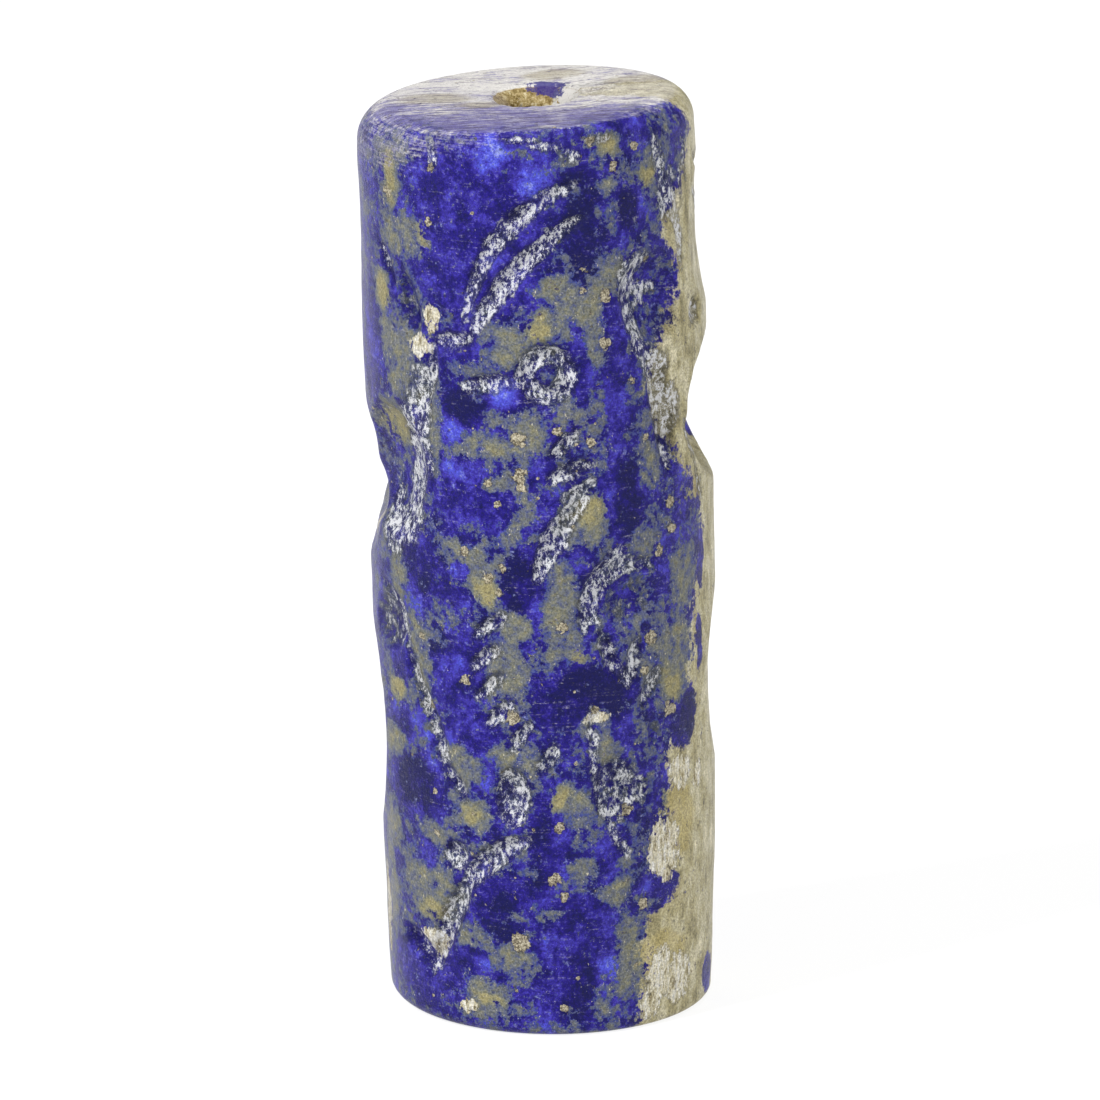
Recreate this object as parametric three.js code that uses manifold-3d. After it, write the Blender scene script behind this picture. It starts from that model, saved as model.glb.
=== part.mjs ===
// A cylinder seal of lapis lazuli: a small bored cylinder of stone, with figures cut into its side so
// that they stand out when it is rolled over clay. It is worn: it leans and swells a little, its upper
// end is tilted, and its edges are rubbed round by different amounts.
//
// Units are millimetres. Z is up along the seal, the origin is at the middle of the box round the seal,
// on the surface that it stands on, and -Y is its front.
//
// A spot on the side is [turn, rise]: turn is in degrees round from the front towards +X, and rise is
// in hundredths of the seal's length, up from its lower end.

import * as THREE from "three";
import { mergeVertices } from "three/addons/utils/BufferGeometryUtils.js";
import Module from "manifold-3d";

// The stone
const SEAL_LENGTH = 35.5; // lower end to the middle of the upper end
const LOWER_RADIUS = 6.24; // at the lower end, before its edge is worn
const UPPER_RADIUS = 6.38; // at the upper end
const BELLY_SWELL = 0.3; // how much further the side stands out halfway up
const TOP_LEAN = 0.98; // how far the upper end lies towards -X of the lower one
const BELLY_SHIFT = 0.16; // how far the middle bows towards +X
const TOP_TILT_DEG = 3.5; // the upper end rises towards +X

// Worn edges, each as the radius of its rounding
const TOP_EDGE_FRONT = 0.4;
const TOP_EDGE_REST = 1.5;
const TOP_EDGE_FRONT_TURN_DEG = 58; // the sharper stretch reaches this far round to each side
const BASE_EDGE_LEFT = 0.5;
const BASE_EDGE_RIGHT = 0.3;

// The bore, drilled from both ends and a little off the middle
const BORE_RADIUS = 1.2;
const MOUTH_FLARE = 0.55; // how much wider the bore is where it comes out
const MOUTH_DEPTH = 0.9;
const MOUTH_OFF_X = 0.4;
const MOUTH_OFF_Y = 0.7;

// The cutter's wheels and drills: how wide a cut is at the surface, and how deep it goes
const FINE_WHEEL = { width: 0.45, depth: 0.2 };
const LINE_WHEEL = { width: 0.62, depth: 0.27 };
const HORN_WHEEL = { width: 0.76, depth: 0.28 };
const BROAD_WHEEL = { width: 0.98, depth: 0.36 };
const FINE_DRILL = { width: 0.7, depth: 0.3 };
const ROUND_DRILL = { width: 1.15, depth: 0.34 };
const TUBE_DRILL = { middleRadius: 0.78, wall: 0.84, depth: 0.34 };

// The rounded hollows of bodies and heads, which are cut away more gently at their edges
const TRUNK_HOLLOW = { width: 4.4, depth: 0.8 };
const BACK_HOLLOW = { width: 5.8, depth: 0.5 };
const WAIST_HOLLOW = { width: 6.2, depth: 0.95 };
const HAUNCH_HOLLOW = { width: 2.5, depth: 0.4 };
const FLANK_HOLLOW = { width: 4.6, depth: 0.3 };
const THIGH_HOLLOW = { width: 1.5, depth: 0.42 };
const HEAD_HOLLOW = { width: 3.2, depth: 0.68 };
const NAPE_HOLLOW = { width: 7.6, depth: 1.45 };
const BROW_HOLLOW = { width: 5, depth: 0.24 };
const KNEE_HOLLOW = { width: 2.1, depth: 0.4 };
const HOLLOW_EASE = 1.5; // 1 is a plain oval hollow, and more eases its rim into the side

// How finely the curved faces are cut up
const TURN_STEPS = 48;
const SIDE_STEPS = 10;
const EDGE_STEPS = 3;
const BORE_STEPS = 20;
const GROOVE_SIDES = 6;
const HOLLOW_SIDES = 10;
const HOLLOW_FROM_WIDTH = 1.3; // cuts at least this wide count as hollows
const TOOL_STEP = 0.95;
const TOOL_LEAST_STEPS = 5;
const TUBE_SIDES = 6;
const TUBE_STEPS = 16;

const { degToRad, lerp, smoothstep } = THREE.MathUtils;
const wasm = await Module();
wasm.setup();

// The shape of the stone before it is carved

function sideRadius(z) {
  const share = z / SEAL_LENGTH;
  return lerp(LOWER_RADIUS, UPPER_RADIUS, share) + BELLY_SWELL * Math.sin(Math.PI * share);
}

function axisX(z) {
  const share = z / SEAL_LENGTH;
  return BELLY_SHIFT * Math.sin(Math.PI * share) - TOP_LEAN * share;
}

function topHeight(x) {
  return SEAL_LENGTH + Math.tan(degToRad(TOP_TILT_DEG)) * (x + TOP_LEAN);
}

function topEdge(turn) {
  const round = Math.abs(THREE.MathUtils.euclideanModulo(turn + 180, 360) - 180);
  const share = smoothstep(round, TOP_EDGE_FRONT_TURN_DEG / 2, TOP_EDGE_FRONT_TURN_DEG);
  return lerp(TOP_EDGE_FRONT, TOP_EDGE_REST, share);
}

function baseEdge(turn) {
  return lerp(BASE_EDGE_LEFT, BASE_EDGE_RIGHT, (1 + Math.sin(degToRad(turn))) / 2);
}

// A point at a turn, a height and a distance from the seal's own leaning axis
function around(turn, z, radius) {
  const angle = degToRad(turn);
  return new THREE.Vector3(axisX(z) + radius * Math.sin(angle), -radius * Math.cos(angle), z);
}

// A closed surface from rings of points that run anticlockwise seen from the end, with a point at each end
function skin(start, rings, end) {
  const count = rings[0].length;
  const points = [start, ...rings.flat(), end];
  const faces = [];
  const at = (ring, step) => 1 + ring * count + (step % count);
  for (let step = 0; step < count; step++) {
    faces.push(0, at(0, step + 1), at(0, step));
    for (let ring = 0; ring + 1 < rings.length; ring++) {
      const [a, b] = [at(ring, step), at(ring, step + 1)];
      const [c, d] = [at(ring + 1, step + 1), at(ring + 1, step)];
      faces.push(a, b, c, a, c, d);
    }
    faces.push(at(rings.length - 1, step), at(rings.length - 1, step + 1), points.length - 1);
  }
  return new THREE.BufferGeometry().setFromPoints(points).setIndex(faces);
}

// One ring of the stone, from the point that it has at each turn
function ringOf(pointAt) {
  const turns = Array.from({ length: TURN_STEPS }, (_, step) => (360 * step) / TURN_STEPS);
  return turns.map(pointAt);
}

// The whole stone, from the middle of its lower end, round its edges, to the middle of its upper end
function stone() {
  const rings = [];
  for (let step = 0; step <= EDGE_STEPS; step++) {
    const angle = (Math.PI / 2) * (step / EDGE_STEPS);
    rings.push(
      ringOf((turn) => {
        const edge = baseEdge(turn);
        return around(turn, edge * (1 - Math.cos(angle)), LOWER_RADIUS - edge * (1 - Math.sin(angle)));
      }),
    );
  }
  for (let step = 1; step < SIDE_STEPS; step++) {
    rings.push(
      ringOf((turn) => {
        const foot = baseEdge(turn);
        const rim = around(turn, SEAL_LENGTH, UPPER_RADIUS);
        const shoulder = topHeight(rim.x) - topEdge(turn);
        const z = lerp(foot, shoulder, step / SIDE_STEPS);
        return around(turn, z, sideRadius(z));
      }),
    );
  }
  for (let step = 0; step <= EDGE_STEPS; step++) {
    const angle = (Math.PI / 2) * (step / EDGE_STEPS);
    rings.push(
      ringOf((turn) => {
        const edge = topEdge(turn);
        const point = around(turn, SEAL_LENGTH, UPPER_RADIUS - edge * (1 - Math.cos(angle)));
        point.z = topHeight(point.x) - edge * (1 - Math.sin(angle));
        return point;
      }),
    );
  }
  return skin(around(0, 0, 0), rings, new THREE.Vector3(-TOP_LEAN, 0, SEAL_LENGTH));
}

// The drill that makes the bore, wider at both mouths and running past both ends
function boreDrill() {
  const mouth = BORE_RADIUS + MOUTH_FLARE;
  const past = MOUTH_DEPTH;
  const profile = [
    [0, -past],
    [mouth + MOUTH_FLARE, -past],
    [mouth, 0],
    [BORE_RADIUS, MOUTH_DEPTH],
    [BORE_RADIUS, SEAL_LENGTH - MOUTH_DEPTH],
    [mouth, SEAL_LENGTH],
    [mouth + MOUTH_FLARE, SEAL_LENGTH + past],
    [0, SEAL_LENGTH + past],
  ];
  const drill = new THREE.LatheGeometry(
    profile.map(([radius, height]) => new THREE.Vector2(radius, height)),
    BORE_STEPS,
  );
  drill.rotateX(Math.PI / 2);
  const lean = new THREE.Matrix4().makeShear(0, 0, 0, 0, -TOP_LEAN / SEAL_LENGTH, 0);
  drill.applyMatrix4(lean);
  drill.translate(MOUTH_OFF_X, MOUTH_OFF_Y, 0);
  return drill;
}

// The tools of the carving. Each is a shape laid flat, with x across the cut, y along it and z out of
// the stone, which is then wrapped round the side. Its outer half only meets air.

const MM_PER_DEGREE = degToRad(sideRadius(SEAL_LENGTH / 2));
const MM_PER_RISE = SEAL_LENGTH / 100;

// A flat tool with each of its points moved to the turn, the height and the distance out that it has
function wrapped(flat, placeOf) {
  flat.deleteAttribute("normal");
  flat.deleteAttribute("uv");
  const points = flat.attributes.position;
  for (let i = 0; i < points.count; i++) {
    const { turn, z, out } = placeOf(points.getX(i), points.getY(i), points.getZ(i));
    const point = around(turn, z, sideRadius(z) + out);
    points.setXYZ(i, point.x, point.y, point.z);
  }
  return flat;
}

// A cut along an arc from one spot to another. Bow is how far its middle swings to the left of the
// straight line, and taper above 0 makes it wider towards its start, below 0 towards its end.
function gouge(from, to, wheel, { bow = 0, taper = 0 } = {}) {
  const start = new THREE.Vector2(from[0] * MM_PER_DEGREE, from[1] * MM_PER_RISE);
  const end = new THREE.Vector2(to[0] * MM_PER_DEGREE, to[1] * MM_PER_RISE);
  const chord = end.clone().sub(start);
  const left = new THREE.Vector2(-chord.y, chord.x).normalize();
  const control = start.clone().lerp(end, 0.5).addScaledVector(left, 2 * bow);
  const path = new THREE.QuadraticBezierCurve(start, control, end);
  const isHollow = wheel.width >= HOLLOW_FROM_WIDTH;
  const ease = isHollow ? HOLLOW_EASE : 1;
  const steps = Math.max(TOOL_LEAST_STEPS, Math.ceil(chord.length() / TOOL_STEP));
  const ball = new THREE.SphereGeometry(1, isHollow ? HOLLOW_SIDES : GROOVE_SIDES, steps);
  return wrapped(ball, (x, y, z) => {
    const middle = path.getPoint((y + 1) / 2);
    const along = path.getTangent((y + 1) / 2);
    const size = 1 - taper * y;
    const across = (x * size * wheel.width) / 2;
    return {
      turn: (middle.x + along.y * across) / MM_PER_DEGREE,
      z: middle.y - along.x * across,
      out: Math.sign(z) * Math.abs(z) ** ease * size * wheel.depth,
    };
  });
}

// A pit left by a rounded drill, or the oval bed of a muscle when it is longer than wide
function pit(spot, drill, length = drill.width) {
  const reach = length / 2 / MM_PER_RISE;
  return gouge([spot[0], spot[1] - reach], [spot[0], spot[1] + reach], drill);
}

// The round trench of a tubular drill, with the stone left standing in its middle
function tubeCut(spot, drill) {
  const torus = new THREE.TorusGeometry(drill.middleRadius, drill.wall / 2, TUBE_SIDES, TUBE_STEPS);
  return wrapped(torus, (x, y, z) => ({
    turn: spot[0] + x / MM_PER_DEGREE,
    z: spot[1] * MM_PER_RISE + y,
    out: (z * drill.depth) / (drill.wall / 2),
  }));
}

// The figures. Each has its own middle and faces one way, so that it can be turned round for another
// side of the seal, and a plain one leaves the small cuts out.

function facing(middle, side) {
  return (turn, rise) => [middle + side * turn, rise];
}

// A horned goat on its hind legs, its head turned back under two long horns
function goat(middle, side, plain = false) {
  const spot = facing(middle, side);
  const cuts = [
    gouge(spot(21, 78), spot(63, 94.5), HORN_WHEEL, { bow: 1.13 * side, taper: -0.15 }),
    gouge(spot(23.5, 77.6), spot(67, 91.4), HORN_WHEEL, { bow: 0.55 * side, taper: 0.3 }),
    gouge(spot(9, 76.8), spot(24, 77.4), LINE_WHEEL),
    gouge(spot(9, 76.6), spot(1.5, 69), LINE_WHEEL, { bow: 0.3 * side }),
    pit(spot(-14, 61.8), TRUNK_HOLLOW, 5.2),
    pit(spot(-46, 58.6), BACK_HOLLOW, 6.2),
    pit(spot(-46, 57.6), WAIST_HOLLOW, 3.6),
    pit(spot(-18.6, 44.1), HAUNCH_HOLLOW, 2.4),
    gouge(spot(-25, 48.5), spot(-7, 41), FINE_WHEEL, { bow: 0.8 * side }),
    gouge(spot(-8, 41.5), spot(9.5, 30.5), LINE_WHEEL, { bow: 0.1 * side }),
    gouge(spot(5, 31), spot(16, 27.2), LINE_WHEEL, { bow: -0.1 * side }),
    pit(spot(-46, 31), FLANK_HOLLOW, 8),
  ];
  if (plain) return cuts;
  return [
    ...cuts,
    gouge(spot(-16, 86.2), spot(-7, 81.5), FINE_WHEEL),
    gouge(spot(-3, 83.6), spot(3, 76.6), BROAD_WHEEL, { bow: -0.1 * side }),
    pit(spot(14, 76.8), FINE_DRILL),
    pit(spot(-12, 43.4), FINE_DRILL),
  ];
}

// A standing figure in a fringed robe, its head a ring, striding towards the goat
function herdsman(middle, side, plain = false) {
  const spot = facing(middle, side);
  const cuts = [
    tubeCut(spot(3.8, 73.8), TUBE_DRILL),
    gouge(spot(-26.5, 72), spot(-4, 73.4), HORN_WHEEL),
    gouge(spot(3, 64.6), spot(14.5, 67.8), LINE_WHEEL),
    gouge(spot(1.5, 62.3), spot(19.5, 64.3), LINE_WHEEL),
    gouge(spot(17, 60.8), spot(-2, 51), BROAD_WHEEL, { bow: -0.3 * side }),
    pit(spot(-11.5, 27), THIGH_HOLLOW, 2.7),
    gouge(spot(-4.5, 22.4), spot(-32, 15.2), BROAD_WHEEL, { bow: -0.45 * side }),
    gouge(spot(-28, 17.4), spot(-47.5, 4.6), BROAD_WHEEL, { bow: -0.1 * side, taper: 0.2 }),
    gouge(spot(-61, 10), spot(-41, 6), BROAD_WHEEL),
    ...fringe(spot, plain ? 4 : 6),
  ];
  if (plain) return cuts;
  return [
    ...cuts,
    gouge(spot(5.5, 60), spot(20.5, 62.4), FINE_WHEEL),
    pit(spot(-33.4, 19.8), ROUND_DRILL),
  ];
}

// The slanting tassels of a robe, one below the other from the hip to the knee, where they are shorter
function fringe(spot, count) {
  const hip = new THREE.Vector2(-18.5, 46);
  const fold = new THREE.Vector2(-26, 37);
  const knee = new THREE.Vector2(0.5, 31.5);
  const hipHalf = new THREE.Vector2(7, 1.6);
  const kneeHalf = new THREE.Vector2(3.8, 1.9);
  const seam = new THREE.QuadraticBezierCurve(hip, fold, knee);
  return seam.getPoints(count - 1).map((point, step) => {
    const half = hipHalf.clone().lerp(kneeHalf, step / (count - 1));
    const start = point.clone().sub(half);
    const end = point.clone().add(half);
    return gouge(spot(start.x, start.y), spot(end.x, end.y), LINE_WHEEL);
  });
}

// A lion standing upright behind the herdsman, its head one deep hollow
function lion(middle, side, plain = false) {
  const spot = facing(middle, side);
  const cuts = [
    pit(spot(1, 80.8), HEAD_HOLLOW, 3.7),
    gouge(spot(-2.5, 76.4), spot(5, 61.5), BROAD_WHEEL, { bow: 0.1 * side }),
    gouge(spot(-29, 45), spot(-2, 52), BROAD_WHEEL, { bow: 1.3 * side }),
    pit(spot(-14, 48.8), KNEE_HOLLOW, 2),
    gouge(spot(-23.5, 45.6), spot(-19, 40.4), LINE_WHEEL),
    gouge(spot(-11, 44.4), spot(-14.5, 39.4), LINE_WHEEL, { bow: 0.1 * side }),
    gouge(spot(-1.5, 41), spot(-9, 36.4), LINE_WHEEL),
    pit(spot(-19, 27.6), KNEE_HOLLOW, 2.8),
  ];
  if (plain) return cuts;
  return [
    ...cuts,
    pit(spot(46, 85.5), BROW_HOLLOW, 5.4),
    pit(spot(50, 67.4), NAPE_HOLLOW, 5.6),
    pit(spot(48, 36.5), FLANK_HOLLOW, 7),
    pit(spot(26.5, 78), ROUND_DRILL),
    gouge(spot(14, 67.2), spot(23, 62.8), FINE_WHEEL),
    gouge(spot(-4.3, 35.2), spot(-4.3, 31.8), FINE_WHEEL),
    pit(spot(-9.4, 27.3), FINE_DRILL, 1.3),
  ];
}

// Three figures on the side that is seen, and the same three, plainer and turned round, behind
function carving() {
  return [
    ...goat(-45, 1),
    ...herdsman(0, 1),
    ...lion(43, 1),
    ...goat(140, -1, true),
    ...herdsman(178, -1, true),
    ...lion(222, 1, true),
  ];
}

// Solids are joined and cut as closed bodies

function bodyOf(geometry) {
  const plain = geometry.clone();
  plain.deleteAttribute("normal");
  plain.deleteAttribute("uv");
  const merged = mergeVertices(plain, 1e-5);
  return new wasm.Manifold(
    new wasm.Mesh({
      numProp: 3,
      vertProperties: merged.attributes.position.array,
      triVerts: new Uint32Array(merged.index.array),
    }),
  );
}

function geometryOf(body) {
  const { vertProperties, triVerts } = body.getMesh();
  const geometry = new THREE.BufferGeometry();
  geometry.setAttribute("position", new THREE.BufferAttribute(vertProperties, 3));
  geometry.setIndex(new THREE.BufferAttribute(triVerts, 1));
  return geometry;
}

function cylinderSeal() {
  let body = bodyOf(stone()).subtract(bodyOf(boreDrill()));
  for (const cut of carving()) body = body.subtract(bodyOf(cut));
  const geometry = geometryOf(body);
  geometry.computeBoundingBox();
  const middle = geometry.boundingBox.getCenter(new THREE.Vector3());
  geometry.translate(-middle.x, -middle.y, -geometry.boundingBox.min.z);
  geometry.computeVertexNormals();
  return geometry;
}

const lapis = new THREE.MeshStandardMaterial({ color: 0x2a2f9c, roughness: 0.38, metalness: 0 });

const seal = new THREE.Mesh(cylinderSeal(), lapis);
seal.name = "cylinder_seal";

const part = new THREE.Group();
part.add(seal);

export default part;
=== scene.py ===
# %% [markdown]
# # A cylinder seal of lapis lazuli
# The seal is a bored cylinder of blue stone, about as long as a finger joint, with figures cut into
# its side so that they stand out when it is rolled over clay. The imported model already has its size,
# its lean and its cuts, so this lesson gives it the surface: worn edges, rough cuts and the stone's
# own clouds of blue, grey and ochre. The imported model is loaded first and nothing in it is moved.

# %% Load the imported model
import math

import bmesh
import bpy
import numpy as np
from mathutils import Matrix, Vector, noise


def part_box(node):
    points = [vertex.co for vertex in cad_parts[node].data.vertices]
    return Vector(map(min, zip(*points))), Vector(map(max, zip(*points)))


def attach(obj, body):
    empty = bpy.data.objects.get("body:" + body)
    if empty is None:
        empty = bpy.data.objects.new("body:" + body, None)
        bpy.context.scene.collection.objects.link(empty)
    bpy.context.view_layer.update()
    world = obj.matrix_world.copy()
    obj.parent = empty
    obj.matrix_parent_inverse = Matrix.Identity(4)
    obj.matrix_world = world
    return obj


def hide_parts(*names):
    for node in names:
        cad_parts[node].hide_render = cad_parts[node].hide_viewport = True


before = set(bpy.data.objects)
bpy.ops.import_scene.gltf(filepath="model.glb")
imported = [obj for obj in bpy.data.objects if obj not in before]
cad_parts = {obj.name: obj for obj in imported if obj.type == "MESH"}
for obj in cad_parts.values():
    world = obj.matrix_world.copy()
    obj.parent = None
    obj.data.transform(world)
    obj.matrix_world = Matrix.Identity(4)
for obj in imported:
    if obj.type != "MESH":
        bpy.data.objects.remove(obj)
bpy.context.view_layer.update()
MM = 0.001
NODE = "cylinder_seal"
seal_low, seal_high = (np.array(corner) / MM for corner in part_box(NODE))
print("the seal's box in mm:", np.round(seal_high - seal_low, 2))

# %% [markdown]
# ## Camera
# The seal was photographed from a little above, from far away with a long lens, so its sides look
# almost parallel. The camera is aimed at one point on the seal's axis and needs no shift.

# %% Place the camera
CAMERA_RISE_DEG = 15.6
CAMERA_DISTANCE = 290
FOCAL_PIXELS = 7540
PHOTO_PIXELS = 1100
SENSOR_MM = 36
AIM = Vector((0.45, 0, 17.63))


def aimed(thing, place, target):
    """Puts a camera or a lamp at a place in millimetres and turns it to face the target."""
    thing.location = place * MM
    thing.rotation_euler = (target - place).to_track_quat("-Z", "Y").to_euler()
    bpy.context.scene.collection.objects.link(thing)


camera = bpy.data.objects.new("camera", bpy.data.cameras.new("camera"))
camera.data.sensor_width = SENSOR_MM
camera.data.lens = SENSOR_MM * FOCAL_PIXELS / PHOTO_PIXELS
camera.data.clip_start = 10 * MM
rise = math.radians(CAMERA_RISE_DEG)
aimed(camera, AIM + CAMERA_DISTANCE * Vector((0, -math.cos(rise), math.sin(rise))), AIM)
bpy.context.scene.camera = camera
print("lens in mm:", round(camera.data.lens, 1))

# %% [markdown]
# ## Light and floor
# A white tent lights small finds evenly: white comes from everywhere, with one soft lamp at the upper
# left that gives the cuts a dark wall and a bright wall. The world stands for the tent, and three area
# lamps do the rest, far enough away to light the whole floor alike. The floor is a white light table:
# its own glow hides the long shadow and leaves only the one close under the seal.

# %% Set up the tent, the lamps and the floor
WHITE = (1, 1, 1, 1)
TENT_STRENGTH = 0.3
FLOOR_HALF = 600
FLOOR_WHITE = 0.2
FLOOR_GLOW = 0.8
LAMPS = [
    {"name": "key", "place": Vector((-470, -300, 560)), "size": 150, "watts": 7.5},
    {"name": "top", "place": Vector((120, 160, 760)), "size": 420, "watts": 1.8},
    {"name": "right", "place": Vector((330, -520, 500)), "size": 180, "watts": 4.2},
]

scene = bpy.context.scene
scene.view_settings.view_transform = "Standard"
scene.world = bpy.data.worlds.new("tent")
scene.world.use_nodes = True
tent = scene.world.node_tree.nodes["Background"]
tent.inputs["Color"].default_value = WHITE
tent.inputs["Strength"].default_value = TENT_STRENGTH

for lamp in LAMPS:
    data = bpy.data.lights.new(lamp["name"], "AREA")
    data.size = lamp["size"] * MM
    data.energy = lamp["watts"]
    aimed(bpy.data.objects.new(lamp["name"], data), lamp["place"], AIM)

floor_mesh = bpy.data.meshes.new("floor")
bm = bmesh.new()
bmesh.ops.create_grid(bm, x_segments=1, y_segments=1, size=FLOOR_HALF * MM)
bm.to_mesh(floor_mesh)
bm.free()
floor = bpy.data.objects.new("floor", floor_mesh)
scene.collection.objects.link(floor)
table = bpy.data.materials.new("light_table")
table.use_nodes = True
table_finish = {
    "Base Color": (FLOOR_WHITE, FLOOR_WHITE, FLOOR_WHITE, 1),
    "Roughness": 1.0,
    "Specular IOR Level": 0.0,
    "Emission Color": WHITE,
    "Emission Strength": FLOOR_GLOW,
}
for socket, value in table_finish.items():
    table.node_tree.nodes["Principled BSDF"].inputs[socket].default_value = value
floor_mesh.materials.append(table)
print("lamps:", [lamp["name"] for lamp in LAMPS])

# %% [markdown]
# ## The blank
# The cutter began with a plain drilled cylinder. It could be a cylinder primitive with a hole, but a
# spun section is better: its points run along straight rows, so that wear and cuts can be worked out
# for a whole grid at once. Each point of the section remembers its row, and the section is a closed
# loop, round the stone and back through the bore, so there are no poles.

# %% Spin the blank from its section
TURN_STEPS = 304
SECTIONS = {
    "lower_face": 10,
    "base_edge": 6,
    "side": 244,
    "top_edge": 10,
    "top_face": 26,
    "upper_mouth": 12,
    "bore": 8,
    "lower_mouth": 6,
}
row_section = np.repeat(list(SECTIONS), list(SECTIONS.values()))
row_share = np.concatenate([np.arange(count) / count for count in SECTIONS.values()])
BLANK_RADIUS, BLANK_BORE, BLANK_EDGE = 6.5, 1.2, 0.5
BLANK_LENGTH = seal_high[2] - seal_low[2]
BLANK_CORNERS = [
    (BLANK_BORE, 0),
    (BLANK_RADIUS - BLANK_EDGE, 0),
    (BLANK_RADIUS, BLANK_EDGE),
    (BLANK_RADIUS, BLANK_LENGTH - BLANK_EDGE),
    (BLANK_RADIUS - BLANK_EDGE, BLANK_LENGTH),
    (BLANK_BORE + BLANK_EDGE, BLANK_LENGTH),
    (BLANK_BORE, BLANK_LENGTH - BLANK_EDGE),
    (BLANK_BORE, BLANK_EDGE),
]

bm = bmesh.new()
row_layer = bm.verts.layers.int.new("row")
section_points = []
for row, (section, share) in enumerate(zip(row_section, row_share)):
    corner = list(SECTIONS).index(section)
    here = Vector(BLANK_CORNERS[corner])
    there = Vector(BLANK_CORNERS[(corner + 1) % len(BLANK_CORNERS)])
    radius, height = here.lerp(there, share)
    point = bm.verts.new((radius, 0, height))
    point[row_layer] = row
    section_points.append(point)
section_edges = [
    bm.edges.new((section_points[row - 1], section_points[row])) for row in range(len(section_points))
]
bmesh.ops.spin(
    bm,
    geom=section_points + section_edges,
    axis=(0, 0, 1),
    cent=(0, 0, 0),
    angle=2 * math.pi,
    steps=TURN_STEPS,
    use_merge=True,
)
bmesh.ops.recalc_face_normals(bm, faces=bm.faces)
stone_mesh = bpy.data.meshes.new("seal_stone")
bm.to_mesh(stone_mesh)
bm.free()
print("points:", len(stone_mesh.vertices), "triangles:", 2 * len(stone_mesh.polygons))

# %% [markdown]
# ## Rows and turns
# Every point is now looked up by its row and its turn, which makes the surface a grid that numpy can
# work on. The front carries the figures that show, so the turns are drawn closer together there.

# %% Lay the points out as a grid
FRONT_CROWDING = 0.28

points = np.zeros(3 * len(stone_mesh.vertices))
stone_mesh.vertices.foreach_get("co", points)
points = points.reshape(-1, 3)
row_of = np.zeros(len(points), int)
stone_mesh.attributes["row"].data.foreach_get("value", row_of)
even_turn = np.degrees(np.arctan2(points[:, 0], -points[:, 1]))
step_of = np.rint(even_turn / 360 * TURN_STEPS).astype(int) % TURN_STEPS
grid_index = np.zeros((len(row_share), TURN_STEPS), int)
grid_index[row_of, step_of] = np.arange(len(points))

steps = np.arange(TURN_STEPS) / TURN_STEPS * 2 * math.pi
turn = np.degrees(steps - FRONT_CROWDING * np.sin(steps))[None, :]
share = row_share[:, None]
front_spacing = math.radians(turn[0, 1]) * BLANK_RADIUS
print("grid:", grid_index.shape, "spacing at the front in mm:", round(front_spacing, 3))

# %% [markdown]
# ## The worn form
# The real seal isn't straight: it leans, swells in the middle, and its upper end was rubbed at a
# slant. It could be bent and sculpted by hand, but formulas give every row its place at once. The sizes
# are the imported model's own, in millimetres, so the fine stone lies in its place. Only the top edge
# differs: seen against the photograph it is rounded by 1.25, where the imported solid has 1.5.

# %% Work out where each row of the worn stone lies
SEAL_LENGTH = 35.5
LOWER_RADIUS = 6.24
UPPER_RADIUS = 6.38
BELLY_SWELL = 0.3
TOP_LEAN = 0.98
BELLY_SHIFT = 0.16
TOP_TILT_DEG = 3.5
TOP_EDGE_FRONT = 0.4
TOP_EDGE_REST = 1.25
TOP_EDGE_FRONT_TURN_DEG = 58
BASE_EDGE_LEFT = 0.5
BASE_EDGE_RIGHT = 0.3
BORE_RADIUS = 1.2
MOUTH_FLARE = 0.55
MOUTH_DEPTH = 0.9
MOUTH_OFF = (0.4, 0.7)
LOWER_FIT = (0, 0.12)
UPPER_FIT = (0.84, 1)


def between(low, high, value):
    """A smooth step from 0 at low to 1 at high."""
    part = np.clip((value - low) / (high - low), 0, 1)
    return part * part * (3 - 2 * part)


def mixed(a, b, part):
    """A value on the way from a to b."""
    return a + (b - a) * part


def round_front(angle):
    """Any angle brought to between -180 and 180 degrees."""
    return (angle + 180) % 360 - 180


def side_radius(z):
    """How far the uncut side stands from the axis at a height."""
    part = z / SEAL_LENGTH
    return mixed(LOWER_RADIUS, UPPER_RADIUS, part) + BELLY_SWELL * np.sin(math.pi * part)


def axis_x(z):
    """Where the seal's own leaning axis lies at a height."""
    part = z / SEAL_LENGTH
    return BELLY_SHIFT * np.sin(math.pi * part) - TOP_LEAN * part


def top_height(x):
    """The height of the tilted upper end."""
    return SEAL_LENGTH + math.tan(math.radians(TOP_TILT_DEG)) * (x + TOP_LEAN)


sine, cosine = np.sin(np.radians(turn)), np.cos(np.radians(turn))
top_edge = mixed(
    TOP_EDGE_FRONT,
    TOP_EDGE_REST,
    between(TOP_EDGE_FRONT_TURN_DEG / 2, TOP_EDGE_FRONT_TURN_DEG, np.abs(round_front(turn))),
)
base_edge = mixed(BASE_EDGE_LEFT, BASE_EDGE_RIGHT, (1 + sine) / 2)
shoulder = top_height(UPPER_RADIUS * sine - TOP_LEAN) - top_edge


def ring(section):
    """The rows of a section, and their shares of the way along it."""
    rows = row_section == section
    return rows, share[rows]


def blank_map():
    """One zero for every point of the grid."""
    return np.zeros(grid_index.shape)


axis, across, height = blank_map(), blank_map(), blank_map()

rows, part = ring("side")
height[rows] = mixed(base_edge, shoulder, part)
lower_fit = 1 - between(*LOWER_FIT, part)
upper_fit = between(*UPPER_FIT, part)
across[rows] = side_radius(height[rows])
across[rows] += lower_fit * (LOWER_RADIUS - side_radius(base_edge))
across[rows] += upper_fit * (UPPER_RADIUS - side_radius(shoulder))
axis[rows] = axis_x(height[rows])
axis[rows] += lower_fit * (axis_x(0) - axis_x(base_edge)) + upper_fit * (-TOP_LEAN - axis_x(shoulder))

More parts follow.
